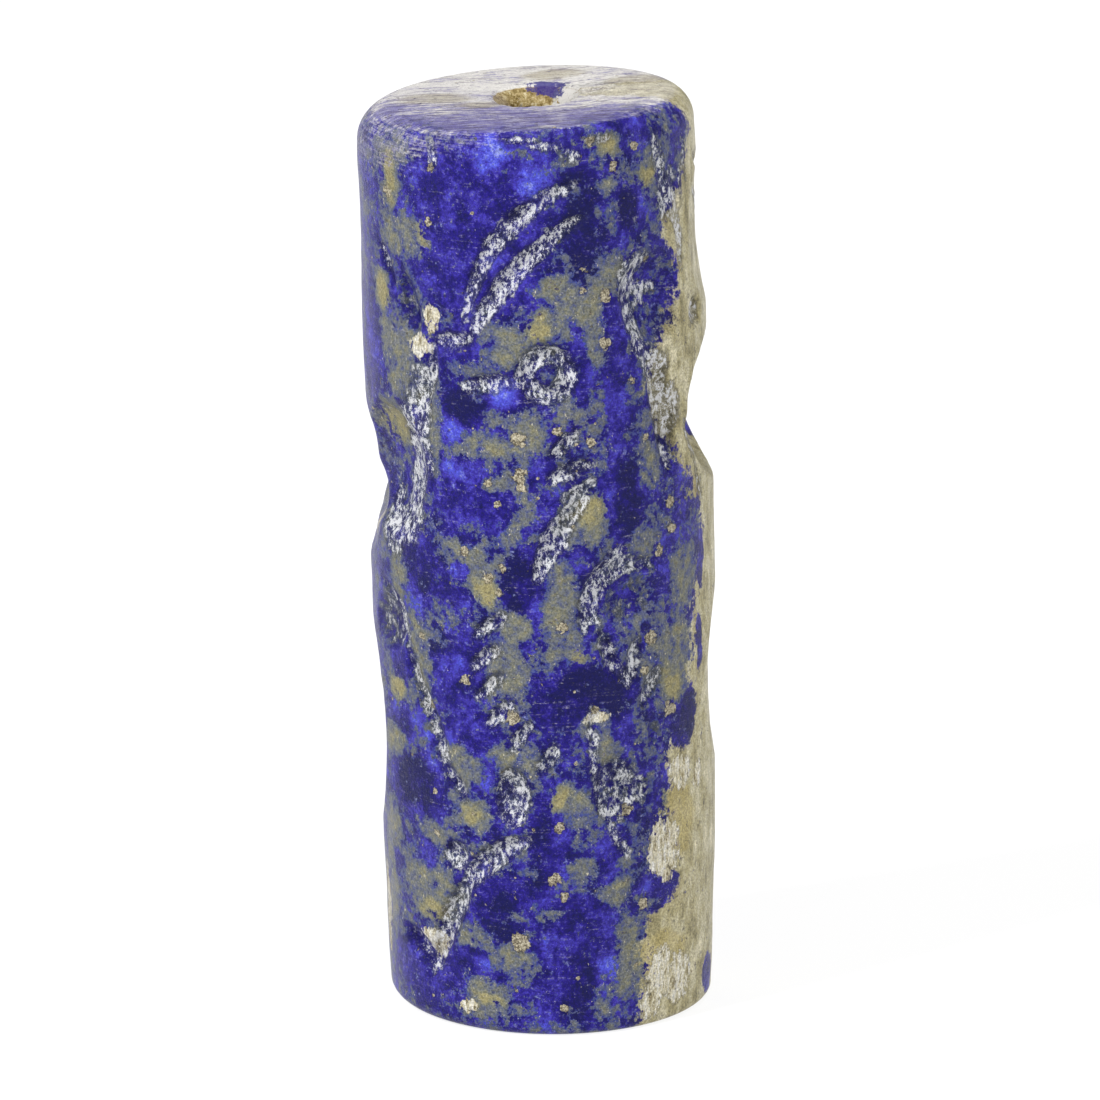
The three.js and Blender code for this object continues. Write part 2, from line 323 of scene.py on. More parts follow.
rows, part = ring("base_edge")
across[rows] = LOWER_RADIUS - base_edge * (1 - np.sin(part * math.pi / 2))
height[rows] = base_edge * (1 - np.cos(part * math.pi / 2))

rows, part = ring("top_edge")
across[rows] = UPPER_RADIUS - top_edge * (1 - np.cos(part * math.pi / 2))
axis[rows] = -TOP_LEAN
height[rows] = top_height(across[rows] * sine - TOP_LEAN) - top_edge * (1 - np.sin(part * math.pi / 2))
print("lowest and highest rows of the side in mm:", height[row_section == "side"][[0, -1], 0])

# %% [markdown]
# ## The carving
# The figures were ground with small wheels and drills and abrasive sand, so every cut is the track of
# a round tool: deepest along its middle and shallow at its ends. A cut is worked out here on the grid:
# for each point near it, the nearest place along its arc gives how far along and how far across it the
# point lies, and a round profile gives the depth. Where cuts cross, the deeper one stays.
# Frost is how much crushed, whitish stone the tool left in the cut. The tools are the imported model's,
# but the nape hollow is deeper here, by half a millimetre, because the photograph's outline asks for it.

# %% The cutter's tools and the shape of one cut
FINE_WHEEL = {"width": 0.45, "depth": 0.2}
LINE_WHEEL = {"width": 0.62, "depth": 0.27}
HORN_WHEEL = {"width": 0.76, "depth": 0.28}
BROAD_WHEEL = {"width": 0.98, "depth": 0.36}
FINE_DRILL = {"width": 0.7, "depth": 0.3}
ROUND_DRILL = {"width": 1.15, "depth": 0.34}
TUBE_DRILL = {"middle_radius": 0.78, "wall": 0.84, "depth": 0.34}
TRUNK_HOLLOW = {"width": 4.4, "depth": 0.8}
BACK_HOLLOW = {"width": 5.8, "depth": 0.5}
WAIST_HOLLOW = {"width": 6.2, "depth": 0.95}
HAUNCH_HOLLOW = {"width": 2.5, "depth": 0.4}
FLANK_HOLLOW = {"width": 4.6, "depth": 0.3}
THIGH_HOLLOW = {"width": 1.5, "depth": 0.42}
HEAD_HOLLOW = {"width": 3.2, "depth": 0.68}
NAPE_HOLLOW = {"width": 7.6, "depth": 1.95}
BROW_HOLLOW = {"width": 5, "depth": 0.24}
KNEE_HOLLOW = {"width": 2.1, "depth": 0.4}
HOLLOW_EASE = 1.5
HOLLOW_FROM_WIDTH = 1.3
FROST_DEPTHS = (0.05, 0.45)
HAND_SHAKE_MM = 0.05
HAND_SHAKE_SIZE = 0.55
PATH_SAMPLES = 12
PATH_SAMPLES_PER_MM = 4

MM_PER_DEGREE = math.radians(side_radius(SEAL_LENGTH / 2))
MM_PER_RISE = SEAL_LENGTH / 100
cut_rows = np.isin(row_section, ("base_edge", "side", "top_edge"))


def shake(seed, size):
    """Smooth values round the side, between about -1 and 1. Another seed gives other values."""
    values = blank_map()
    for row in np.flatnonzero(cut_rows):
        for step in range(TURN_STEPS):
            out = across[row, step]
            place = Vector((out * sine[0, step], out * cosine[0, step], height[row, step]))
            values[row, step] = noise.noise(place / size + Vector((seed, 0, 0)))
    return values


flat_turn = np.broadcast_to(turn, grid_index.shape)
turn_grid = flat_turn + shake(11.3, HAND_SHAKE_SIZE) * HAND_SHAKE_MM / MM_PER_DEGREE
height_grid = height + shake(37.1, HAND_SHAKE_SIZE) * HAND_SHAKE_MM
depth = blank_map()
frost = blank_map()


def sink(window, amount, full_depth, cut_frost):
    """Lowers the points of the window by the amount, where they don't lie deeper already."""
    depth[window] = np.maximum(depth[window], amount)
    frost[window] = np.maximum(frost[window], cut_frost * between(*FROST_DEPTHS, amount / full_depth))


def gouge(start, end, wheel, bow=0, taper=0, frosted=0.6):
    """A cut along an arc from one spot to another. A spot is (turn in degrees, rise in hundredths)."""
    start, end = (np.array([spot[0] * MM_PER_DEGREE, spot[1] * MM_PER_RISE]) for spot in (start, end))
    chord = end - start
    length = np.hypot(*chord)
    control = (start + end) / 2 + 2 * bow * np.array([-chord[1], chord[0]]) / length
    middle = (start + end) / 2
    reach = length / 2 + abs(bow) + wheel["width"]
    sideways = round_front(turn_grid - middle[0] / MM_PER_DEGREE) * MM_PER_DEGREE
    upward = height_grid - middle[1]
    window = cut_rows[:, None] & (np.abs(sideways) < reach) & (np.abs(upward) < reach)
    places = np.stack([sideways[window] + middle[0], upward[window] + middle[1]], axis=1)
    samples = np.linspace(0, 1, PATH_SAMPLES + int(length * PATH_SAMPLES_PER_MM))[:, None]
    path = (1 - samples) ** 2 * start + 2 * samples * (1 - samples) * control + samples**2 * end
    slope = 2 * (1 - samples) * (control - start) + 2 * samples * (end - control)
    nearest = ((places[:, None] - path[None]) ** 2).sum(axis=2).argmin(axis=1)
    away = places - path[nearest]
    along = slope[nearest]
    speed = np.hypot(along[:, 0], along[:, 1])
    on_path = samples[nearest, 0] + (away * along).sum(axis=1) / speed**2
    offset = (away[:, 0] * along[:, 1] - away[:, 1] * along[:, 0]) / speed
    lengthwise = 2 * on_path - 1
    size = 1 - taper * lengthwise
    inner = 1 - lengthwise**2 - (offset / (size * wheel["width"] / 2)) ** 2
    ease = HOLLOW_EASE if wheel["width"] >= HOLLOW_FROM_WIDTH else 1
    sink(window, size * wheel["depth"] * np.clip(inner, 0, 1) ** (ease / 2), wheel["depth"], frosted)


def pit(spot, drill, length=None, frosted=0.6):
    """A round or upright oval hollow."""
    reach = (length or drill["width"]) / 2 / MM_PER_RISE
    gouge((spot[0], spot[1] - reach), (spot[0], spot[1] + reach), drill, frosted=frosted)


def tube_cut(spot, drill, frosted=0.6):
    """The round trench of a tubular drill, with the stone left standing in its middle."""
    sideways = round_front(turn_grid - spot[0]) * MM_PER_DEGREE
    out = np.hypot(sideways, height_grid - spot[1] * MM_PER_RISE)
    inner = 1 - ((out - drill["middle_radius"]) / (drill["wall"] / 2)) ** 2
    window = cut_rows[:, None] & (inner > 0)
    sink(window, drill["depth"] * np.sqrt(inner[window]), drill["depth"], frosted)


print("millimetres in a degree round the side:", round(MM_PER_DEGREE, 4))

# %% [markdown]
# ## The figures
# Three figures walk round the front: a horned goat on its hind legs, a herdsman in a fringed robe
# whose head is a drilled ring, and an upright lion. The same three, plainer and turned round, fill the
# side that the photograph doesn't show. Each figure is a function of its own middle and its facing.
# The goat comes first: two long arcs for the horns, bowls for the body and thin strokes for the legs.

# %% Cut the goat
def facing(middle, side):
    """Places a figure's spots: its own turns are measured from its middle, to the side it faces."""
    return lambda turn_off, rise_up: (middle + side * turn_off, rise_up)


def goat(middle, side, plain=False):
    """A horned goat on its hind legs, its head turned back under two long horns."""
    at = facing(middle, side)
    gouge(at(21, 78), at(63, 94.5), HORN_WHEEL, bow=1.13 * side, taper=-0.15, frosted=0.75)
    gouge(at(23.5, 77.6), at(67, 91.4), HORN_WHEEL, bow=0.55 * side, taper=0.3, frosted=0.95)
    gouge(at(9, 76.8), at(24, 77.4), LINE_WHEEL, frosted=0.8)
    gouge(at(9, 76.6), at(1.5, 69), LINE_WHEEL, bow=0.3 * side, frosted=0.8)
    pit(at(-14, 61.8), TRUNK_HOLLOW, 5.2, frosted=0)
    pit(at(-46, 58.6), BACK_HOLLOW, 6.2, frosted=0)
    pit(at(-46, 57.6), WAIST_HOLLOW, 3.6, frosted=0)
    pit(at(-18.6, 44.1), HAUNCH_HOLLOW, 2.4, frosted=0.4)
    gouge(at(-25, 48.5), at(-7, 41), FINE_WHEEL, bow=0.8 * side)
    gouge(at(-8, 41.5), at(9.5, 30.5), LINE_WHEEL, bow=0.1 * side)
    gouge(at(5, 31), at(16, 27.2), LINE_WHEEL, bow=-0.1 * side)
    pit(at(-46, 31), FLANK_HOLLOW, 8, frosted=0)
    if not plain:
        gouge(at(-16, 86.2), at(-7, 81.5), FINE_WHEEL, frosted=0.8)
        gouge(at(-3, 83.6), at(3, 76.6), BROAD_WHEEL, bow=-0.1 * side, frosted=0.2)
        pit(at(14, 76.8), FINE_DRILL, frosted=0.5)
        pit(at(-12, 43.4), FINE_DRILL, frosted=0.7)


goat(-45, 1)
goat(140, -1, plain=True)
print("deepest cut so far in mm:", round(depth.max(), 2))

# %% [markdown]
# The herdsman's head is the ring of a tubular drill. The fringe of the robe is one short stroke,
# repeated along a curve, so a loop cuts it.

# %% Cut the herdsman
def fringe(at, count):
    """The slanting tassels of the robe, from the hip down to the knee, where they are shorter."""
    hip, fold, knee = np.array([-18.5, 46]), np.array([-26, 37]), np.array([0.5, 31.5])
    for step in range(count):
        part = step / (count - 1)
        point = (1 - part) ** 2 * hip + 2 * part * (1 - part) * fold + part**2 * knee
        half = mixed(np.array([7, 1.6]), np.array([3.8, 1.9]), part)
        gouge(at(*(point - half)), at(*(point + half)), LINE_WHEEL, frosted=0.75)


def herdsman(middle, side, plain=False):
    """A standing figure in a fringed robe, its head a ring, striding towards the goat."""
    at = facing(middle, side)
    tube_cut(at(3.8, 73.8), TUBE_DRILL, frosted=0.8)
    gouge(at(-26.5, 72), at(-4, 73.4), HORN_WHEEL, frosted=0.8)
    gouge(at(3, 64.6), at(14.5, 67.8), LINE_WHEEL, frosted=0.7)
    gouge(at(1.5, 62.3), at(19.5, 64.3), LINE_WHEEL, frosted=0.8)
    gouge(at(17, 60.8), at(-2, 51), BROAD_WHEEL, bow=-0.3 * side, frosted=0.9)
    pit(at(-11.5, 27), THIGH_HOLLOW, 2.7, frosted=0.7)
    gouge(at(-4.5, 22.4), at(-32, 15.2), BROAD_WHEEL, bow=-0.45 * side, frosted=0.8)
    gouge(at(-28, 17.4), at(-47.5, 4.6), BROAD_WHEEL, bow=-0.1 * side, taper=0.2, frosted=0.7)
    gouge(at(-61, 10), at(-41, 6), BROAD_WHEEL, frosted=0.5)
    fringe(at, 4 if plain else 6)
    if not plain:
        gouge(at(5.5, 60), at(20.5, 62.4), FINE_WHEEL, frosted=0.8)
        pit(at(-33.4, 19.8), ROUND_DRILL, frosted=0.8)


herdsman(0, 1)
herdsman(178, -1, plain=True)
print("deepest cut so far in mm:", round(depth.max(), 2))

# %% [markdown]
# The lion is mostly hollows. A wide wheel held still grinds a bowl, and bowls side by side make a head,
# a nape and a flank, so each is a wide pit with an eased rim.

# %% Cut the lion
def lion(middle, side, plain=False):
    """A lion standing upright behind the herdsman, its head one deep hollow."""
    at = facing(middle, side)
    pit(at(0.4, 80.9), HEAD_HOLLOW, 3.7, frosted=0)
    gouge(at(-2.5, 76.4), at(5, 61.5), BROAD_WHEEL, bow=0.1 * side)
    gouge(at(-29, 45), at(-2, 52), BROAD_WHEEL, bow=1.3 * side, frosted=0.75)
    pit(at(-14, 48.8), KNEE_HOLLOW, 2, frosted=0.2)
    gouge(at(-23.5, 45.6), at(-19, 40.4), LINE_WHEEL)
    gouge(at(-11, 44.4), at(-14.5, 39.4), LINE_WHEEL, bow=0.1 * side, frosted=0.9)
    gouge(at(-1.5, 41), at(-9, 36.4), LINE_WHEEL, frosted=0.8)
    pit(at(-19, 27.6), KNEE_HOLLOW, 2.8)
    if not plain:
        pit(at(46, 85.5), BROW_HOLLOW, 5.4, frosted=0)
        pit(at(50, 66.8), NAPE_HOLLOW, 5.8, frosted=0)
        pit(at(48, 36.5), FLANK_HOLLOW, 7, frosted=0)
        pit(at(26, 78), ROUND_DRILL, frosted=0.7)
        gouge(at(14, 67.2), at(23, 62.8), FINE_WHEEL, frosted=0.3)
        gouge(at(-4.3, 35.2), at(-4.3, 31.8), FINE_WHEEL, frosted=0.3)
        pit(at(-9.4, 27.3), FINE_DRILL, 1.3)


lion(43, 1)
lion(222, 1, plain=True)
print("deepest cut so far in mm:", round(depth.max(), 2))

# %% [markdown]
# ## Hairlines
# Shallow lines run beside the deeper cuts, where the cutter marked out a leg or the hem of the robe
# and the later wear left only a trace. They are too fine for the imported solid, so they are cut here,
# each one as a chain of short strokes through a few spots, with the finest wheel. The stone also
# crumbled beside some hollows, and those bands, (turn, rise, half width, half height), are only frosted.

# %% Cut the hairlines
HAIR_WHEEL = {"width": 0.42, "depth": 0.11}
HAIRLINES = [
    # the lion's hind leg, down to the hem
    [(30, 54.7), (20, 53.3), (15.4, 49.9), (17.9, 46.3), (24.6, 42.1), (29, 38.8)],
    [(15.2, 37.5), (16.1, 28.5), (20.2, 24.3), (29, 19.8)],
    # the edge of the goat's hind leg
    [(-51.3, 42.3), (-46, 38.2), (-41, 34), (-34, 29.4), (-27.5, 25.8)],
    # the fold down the goat's chest
    [(-43.5, 72), (-42, 66), (-43.5, 60.4), (-49, 56)],
    [(-38.5, 71.8), (-39.5, 66), (-38, 61)],
    # the lion's mane and brow
    [(57.5, 67.3), (63, 62), (68.4, 57)],
    [(49.4, 96), (52, 92), (54.4, 88.8)],
    [(57, 95), (59, 90), (60.5, 85)],
    [(39, 85), (37, 81), (38, 76.5), (42, 72.5)],
    [(38.5, 80.8), (46, 80.2)],
]

for line in HAIRLINES:
    for start, end in zip(line, line[1:]):
        gouge(start, end, HAIR_WHEEL, frosted=0.75)
print("hairlines:", len(HAIRLINES))

# %% Frost the crumbled bands
BAND_FROST = 0.9
BAND_EDGE = (0.5, 1.25)
CARVED_FROM_MM = 0.03
FROST_BANDS = [
    # down the inner side of the goat's body
    (-42, 71, 0.6, 1.3), (-47, 66, 1, 1.7), (-46, 62, 0.7, 1.6), (-52, 60, 0.5, 1.3),
    (-49, 57, 0.9, 1.3), (-58, 54.5, 0.9, 1), (-62, 57, 0.4, 0.9),
    # round the lion's head, and the crumbled stone under it
    (33, 83.2, 0.45, 1), (38, 85, 0.9, 0.35), (43, 82, 1, 0.3), (35, 79, 0.4, 0.8),
    (37, 76.4, 0.45, 0.6), (44, 73.8, 0.8, 0.6), (45, 71, 0.4, 1.2), (49.5, 69, 0.7, 1),
    # upright streaks behind the lion
    (48.6, 96.6, 0.2, 0.9), (52, 94, 0.2, 1.2), (55.3, 91.4, 0.22, 1), (50.5, 91, 0.2, 0.8),
    (58, 89.5, 0.2, 0.9), (59.5, 86.6, 0.22, 1.2), (-2, 99, 0.9, 0.12), (7, 98.3, 0.9, 0.18),
    (15, 97.2, 0.5, 0.28), (25, 98.9, 0.8, 0.18), (-33, 96.8, 0.25, 0.6), (67, 95, 0.15, 1.2),
    (63, 92, 0.15, 1),
]


def oval(spot, half_width, half_height):
    """The distance of each point from a spot, in sizes of an upright oval round it."""
    sideways = round_front(turn_grid - spot[0]) * MM_PER_DEGREE / half_width
    return np.hypot(sideways, (height_grid - spot[1] * MM_PER_RISE) / half_height)


for turn_off, rise_up, half_width, half_height in FROST_BANDS:
    band = BAND_FROST * (1 - between(*BAND_EDGE, oval((turn_off, rise_up), half_width, half_height)))
    frost = np.maximum(frost, band * cut_rows[:, None])
print("carved share of the side:", round((depth[cut_rows] > CARVED_FROM_MM).mean(), 2))

# %% [markdown]
# ## Wear
# Thousands of years of handling softened every rim. A small blur of the depth map does the same: each
# point takes a share of its neighbours. Fine grain is then added inside the cuts, where the sand tore
# the stone, and slow waves over the whole side. The steep walls of the cuts get painted shade, so the
# slope of the depth map is kept as well.

# %% Soften the rims and add the unevenness
RIM_PASSES = 1
WALL_SLOPES = (0.12, 0.9)
GRAIN_MM = 0.06
GRAIN_SIZE = 0.3
WAVE_MM = 0.045
WAVE_SIZE = 2.6
RIPPLE_MM = 0.014
RIPPLE_SIZE = 0.8
LEAST_ROW_STEP_MM = 0.05
EDGE_FADE_PASSES = 6


def softened(values, passes):
    """Each value becomes the mean of itself, counted twice, and its neighbours, in both directions."""
    for _ in range(passes):
        values = (2 * values + np.roll(values, 1, axis=1) + np.roll(values, -1, axis=1)) / 4
        padded = np.pad(values, ((1, 1), (0, 0)), mode="edge")
        values = (2 * values + padded[:-2] + padded[2:]) / 4
    return values


depth = softened(depth, RIM_PASSES)
frost = softened(frost, 1)
step_mm = (np.roll(turn, -1) - np.roll(turn, 1)) % 360 * MM_PER_DEGREE
slope_round = (np.roll(depth, -1, axis=1) - np.roll(depth, 1, axis=1)) / step_mm
slope_up = np.gradient(depth, axis=0) / np.maximum(np.gradient(height, axis=0), LEAST_ROW_STEP_MM)
# Painted shade: the wall map darkens the steep walls of the cuts, where shade falls.
wall = between(*WALL_SLOPES, softened(np.hypot(slope_round, slope_up), 1))
wall[~cut_rows] = 0
depth += GRAIN_MM * frost * shake(5.7, GRAIN_SIZE)
swell = WAVE_MM * shake(71.9, WAVE_SIZE) + RIPPLE_MM * shake(93.3, RIPPLE_SIZE)
edge_fade = blank_map()
edge_fade[row_section == "side"] = 1
across[cut_rows] += (swell * softened(edge_fade, EDGE_FADE_PASSES) - depth)[cut_rows]
print("wave range in mm:", round(swell.min(), 3), round(swell.max(), 3))

# %% [markdown]
# ## Ends and bore
# The two ends are flat faces between the worn edge and the mouth of the bore, which lies a little off
# the middle. The mouth is a rounded funnel. The cord wore it wider towards the front, and dished the
# face a little around it.

# %% Fill in the ends and the bore
CORD_WEAR = 0.75
LIP_CHIPS = 0.25
LIP_CHIP_SIZE = 1.4
DISH = 0.1
DISH_REACH = (0.3, 1)
CORD_SIDE = (-0.2, 1)

mouth_radius = BORE_RADIUS + MOUTH_FLARE
x = axis + across * sine
y = -across * cosine


def bore_ring(z, radius):
    """Points of a ring round the bore's own leaning axis."""
    middle_x = MOUTH_OFF[0] - TOP_LEAN * z / SEAL_LENGTH
    return middle_x + radius * sine, MOUTH_OFF[1] - radius * cosine


upper_mouth_x, upper_mouth_y = bore_ring(SEAL_LENGTH, mouth_radius)
lower_mouth_x, lower_mouth_y = bore_ring(0, mouth_radius)
lip = CORD_WEAR + LIP_CHIPS * softened(shake(44.4, LIP_CHIP_SIZE), 1)[row_section == "side"][-1]
lip = lip * between(*CORD_SIDE, cosine)
upper_mouth_y = upper_mouth_y - lip

rows, part = ring("top_face")
rim = UPPER_RADIUS - top_edge
x[rows] = mixed(rim * sine - TOP_LEAN, upper_mouth_x, part)
y[rows] = mixed(-rim * cosine, upper_mouth_y, part)
height[rows] = top_height(x[rows]) - DISH * between(*DISH_REACH, part)

rows, part = ring("upper_mouth")
funnel = (1 - part) ** 2
x[rows], y[rows] = bore_ring(SEAL_LENGTH, BORE_RADIUS + MOUTH_FLARE * funnel)
y[rows] -= lip * funnel
height[rows] = mixed(top_height(x[rows]) - DISH, SEAL_LENGTH - MOUTH_DEPTH, part)

rows, part = ring("bore")
height[rows] = mixed(SEAL_LENGTH - MOUTH_DEPTH, MOUTH_DEPTH, part)
x[rows], y[rows] = bore_ring(height[rows], BORE_RADIUS)

rows, part = ring("lower_mouth")
height[rows] = mixed(MOUTH_DEPTH, 0, part)
x[rows], y[rows] = bore_ring(height[rows], BORE_RADIUS + MOUTH_FLARE * part**2)

rows, part = ring("lower_face")
rim = LOWER_RADIUS - base_edge
x[rows] = mixed(lower_mouth_x, rim * sine, part)
y[rows] = mixed(lower_mouth_y, -rim * cosine, part)

middle = (seal_low + seal_high) / 2
x += middle[0] - (x.min() + x.max()) / 2
y += middle[1] - (y.min() + y.max()) / 2
height += seal_low[2] - height.min()
places = np.stack([x, y, height], axis=2)
points[grid_index] = places * MM
stone_mesh.vertices.foreach_set("co", points.ravel())
stone_mesh.shade_smooth()
stone_mesh.update()
print("box in mm:", np.round(points.min(axis=0) / MM, 2), np.round(points.max(axis=0) / MM, 2))

# %% [markdown]
# ## Clouds in the stone
# Lapis is a rock of several minerals: blue lazurite, grey-green and ochre clouds, white calcite and
# grains of pyrite. Noise alone would put them anywhere, so the broad clouds of the side that shows are
# listed, as soft ovals: (turn, rise, half width, half height), the last two in millimetres.

# %% List the grey and the blue clouds
GREY_CLOUDS = [
    # down the left side
    (-50, 97, 1, 0.5), (-53, 92.5, 0.45, 1.4), (-47, 87.5, 1.6, 0.9), (-62, 81, 0.7, 0.8),
    (-54, 76, 1.2, 0.8), (-83, 10, 0.7, 2.6), (-72, 14, 0.5, 2.6), (-66, 22, 0.6, 1.2),
    (-47, 72, 1.2, 1), (-36, 67, 0.4, 1.6), (-61, 66.5, 1.3, 0.9), (-56, 50, 0.6, 1),
    (-45, 42, 0.6, 1.8), (-61, 37, 0.8, 0.5), (-63, 31, 0.8, 0.7), (-45, 15.5, 1.5, 1.3),
    (-43, 22, 0.7, 0.4),
    # across the middle, from the horns down
    (-9, 77, 1.1, 0.8), (6, 79, 0.9, 0.9), (8, 83, 1.1, 0.6), (17, 81, 1.1, 0.6), (-18, 66, 2, 0.5),
    (-4, 67, 0.7, 1.2), (-16, 62, 0.5, 0.4), (-2, 61, 0.5, 1), (-9, 57, 0.4, 0.4), (-26, 54, 1, 0.4),
    (-19, 50, 0.7, 0.8), (-9, 46, 0.6, 0.8), (-12, 41, 1, 1.2), (-31, 31, 0.7, 0.6),
    (-10, 31, 0.9, 0.8), (-25, 25, 0.8, 0.6), (-29, 11, 0.6, 0.5), (-6, 14, 1, 0.4), (-12, 9, 1, 0.7),
    (-23, 4, 1, 0.8),
    # to the right of the middle
    (28, 98, 0.7, 0.6), (28, 94, 0.4, 0.4), (45, 95, 0.5, 0.8), (14, 97, 0.4, 0.4), (16, 92, 0.4, 0.8),
    (25, 84, 1, 0.8), (22, 78, 0.6, 1.4), (12, 70, 0.7, 0.6), (14, 58, 1, 1.2), (6, 48, 0.7, 2.1),
    (18, 36, 0.6, 0.6), (40, 63, 0.6, 0.9), (34, 55, 0.7, 0.6), (54, 50, 0.9, 1.3), (47, 41, 1.6, 1.7),
    (8, 26, 0.9, 0.9), (22, 32, 0.7, 0.5), (12, 19, 0.7, 0.6), (22, 16, 0.8, 0.6), (28, 8, 0.8, 1.6),
    (19, 5, 0.5, 1.2),
]
BLUE_CLOUDS = [
    # the big field under the rim, and the dark columns to its right
    (-18, 90, 3, 3.6), (17, 91, 0.7, 2.6), (14, 74, 0.5, 1.6), (36, 91, 0.7, 1), (37, 100, 1.3, 0.5),
    (27, 74, 0.5, 2.6), (29, 60, 0.7, 2),
    # down the left side
    (-70, 74, 1, 2.2), (-45, 51, 1, 1.8), (-57, 40, 0.7, 0.7), (-59, 33, 0.7, 0.5), (-54, 26, 1.7, 1.2),
    (-46, 19, 0.6, 0.6), (-51, 6, 2, 1.4),
    # across the middle
    (-23, 77, 1.3, 0.6), (-26, 70, 1, 0.8), (-11, 72, 0.7, 0.7), (-30, 67, 0.6, 0.6), (-25, 63, 1, 0.4),
    (-22, 59.5, 1.6, 0.7), (-28, 52, 0.5, 0.4), (-31, 49, 0.8, 0.6), (0, 61, 0.5, 1.6),
    (-6, 51, 0.7, 1.6), (-30, 41, 1.1, 1.6), (-27, 34, 1.1, 0.9), (0, 22, 0.7, 1.8),
    (-14, 15, 1.6, 1.2), (-29, 8, 1, 0.5),
    # to the right
    (12, 54.5, 0.3, 0.2), (43, 51, 0.4, 0.7), (66, 51, 0.3, 1.2), (63, 42, 0.3, 1.2),
    (53, 34, 0.9, 1.1), (14, 39, 1.9, 1.1), (27, 34, 0.5, 1), (20, 20, 0.4, 1.1), (11, 9, 1.7, 2.5),
    (40, 16, 1.2, 0.4), (75, 3, 0.7, 0.8),
]
print("broad clouds:", len(GREY_CLOUDS) + len(BLUE_CLOUDS))

# %% [markdown]
# Smaller ovals make the blue deeper or brighter and the grey warmer, and mark the crushed, chalky
# patches. The tan vein down the right side is too long for ovals, so its two edges are drawn instead,
# each as a line through (rise, turn).

# %% List the smaller clouds and the edges of the vein
DEEP_CLOUDS = [
    (18, 89, 0.8, 2.6), (-25, 70, 1, 0.7), (36, 91, 0.5, 0.8), (30, 60, 0.6, 1.6), (-8, 51, 0.5, 1.3),
    (-38, 44, 0.5, 0.5), (16, 39, 1.9, 1), (56, 34, 0.8, 1), (-18, 14, 0.8, 1), (-2, 21, 0.5, 1.4),
    (10, 4, 0.8, 0.8), (-45, 51, 0.7, 1), (-52, 27, 1.2, 1),
]
BRIGHT_CLOUDS = [
    (-13, 97, 0.7, 0.8), (3, 95, 0.8, 1.2), (-11, 72, 0.7, 0.7), (-29, 67, 0.5, 0.6), (-25, 63, 1, 0.4),
    (-28, 52, 0.5, 0.4), (20, 62, 0.3, 0.2), (-48, 48, 0.6, 0.8), (-33, 41, 0.6, 0.6),
    (-21, 29, 0.3, 0.6), (-46, 19, 0.6, 0.6), (-46, 34, 0.6, 0.8), (-23, 8, 0.7, 0.3),
    (20, 7, 0.6, 0.8),
]
OCHRE_CLOUDS = [
    (-38, 88, 0.4, 0.4), (-54, 94, 0.3, 0.9), (-61, 81, 0.6, 0.7), (2, 79, 0.5, 0.5),
    (45, 94, 0.4, 0.4), (29, 98, 0.4, 0.4), (-61, 66, 1.3, 0.8), (17, 59, 0.7, 0.6),
    (-19, 50, 0.5, 0.5), (48, 38, 0.4, 0.5), (-60, 37, 0.6, 0.5), (-26, 25, 0.4, 0.4),
    (4, 27, 0.4, 0.4), (-46, 13, 0.8, 0.4), (-21, 4, 0.6, 0.3), (11, 43, 0.3, 0.3), (60, 59, 0.8, 0.6),
    (50, 23, 1.2, 1.6), (44, 8, 1.4, 1.1),
]
CHALK_CLOUDS = [
    (-36, 79, 0.4, 0.5), (-41, 76, 0.6, 0.5), (51, 28, 0.7, 0.8), (63, 27, 0.4, 0.6),
    (43, 20, 0.9, 1.3), (42, 5.8, 0.8, 1.2), (52, 4.6, 0.9, 1.1), (38, 2.6, 0.5, 0.7),
    (18, 36, 0.6, 0.3), (-45, 9, 0.8, 0.6), (-80, 10, 0.5, 2), (-84, 55, 0.4, 1.2), (-30, 3, 0.5, 0.3),
]
VEIN_LEFT_EDGE = [
    (0, 34), (9.5, 34), (12.5, 36), (14, 46), (16.5, 49), (18, 42), (21, 47), (24, 44), (32, 46),
    (36, 56), (42, 57), (46, 59), (50, 64), (55, 67), (60, 61), (64, 50), (66, 45), (71, 41), (75, 44),
    (78.5, 54), (83, 58), (85.5, 56), (87, 50), (89.5, 51), (91, 60), (95, 69), (98, 74), (100, 70),
]
VEIN_RIGHT_EDGE = [(0, 118), (12, 106), (27, 121), (41, 103), (58, 117), (73, 101), (88, 113), (100, 105)]
print("smaller clouds:", sum(map(len, (DEEP_CLOUDS, BRIGHT_CLOUDS, OCHRE_CLOUDS, CHALK_CLOUDS))))

# %% [markdown]
# Each kind of cloud is now kept as a number on every point, and the material will break its edges up.
# On the back, where nothing is seen, the grey clouds come from noise. Each number could be painted by
# hand as well, but from a list it comes out the same every time.

# %% Turn the clouds into numbers on the points
LIP_CHALK = (2.0, 0.9, 1.1)
LIP_CHALK_TURN = (132, 24)
LIP_CHALK_EDGE = (0.5, 1)
LIP_CHALK_SHARE = 0.8
BACK_TURNS = (78, 100)
BACK_CLOUD_SIZE = 1.9
BACK_CLOUD_STEP = (-0.15, 0.35)
BACK_CLOUD_RANGE = (-0.7, 0.8)
VEIN_SOFTNESS_DEG = 9
CLOUD_SKIN_MM = 0.8
CLOUD_DEPTH_MM = 1.6
CLOUD_CORE = 0.55
CLOUD_REACH = 1.35
CLOUD_SHAKE_MM = 0.22
CLOUD_SHAKE_SIZE = 0.9

inward = np.clip(side_radius(height) - np.hypot(x - axis, y), 0, None)
inward[~cut_rows] = np.clip(UPPER_RADIUS - np.hypot(x, y)[~cut_rows], 0, None)
cloud_turn = flat_turn + shake(3.1, CLOUD_SHAKE_SIZE) * CLOUD_SHAKE_MM / MM_PER_DEGREE
cloud_height = height + shake(8.9, CLOUD_SHAKE_SIZE) * CLOUD_SHAKE_MM


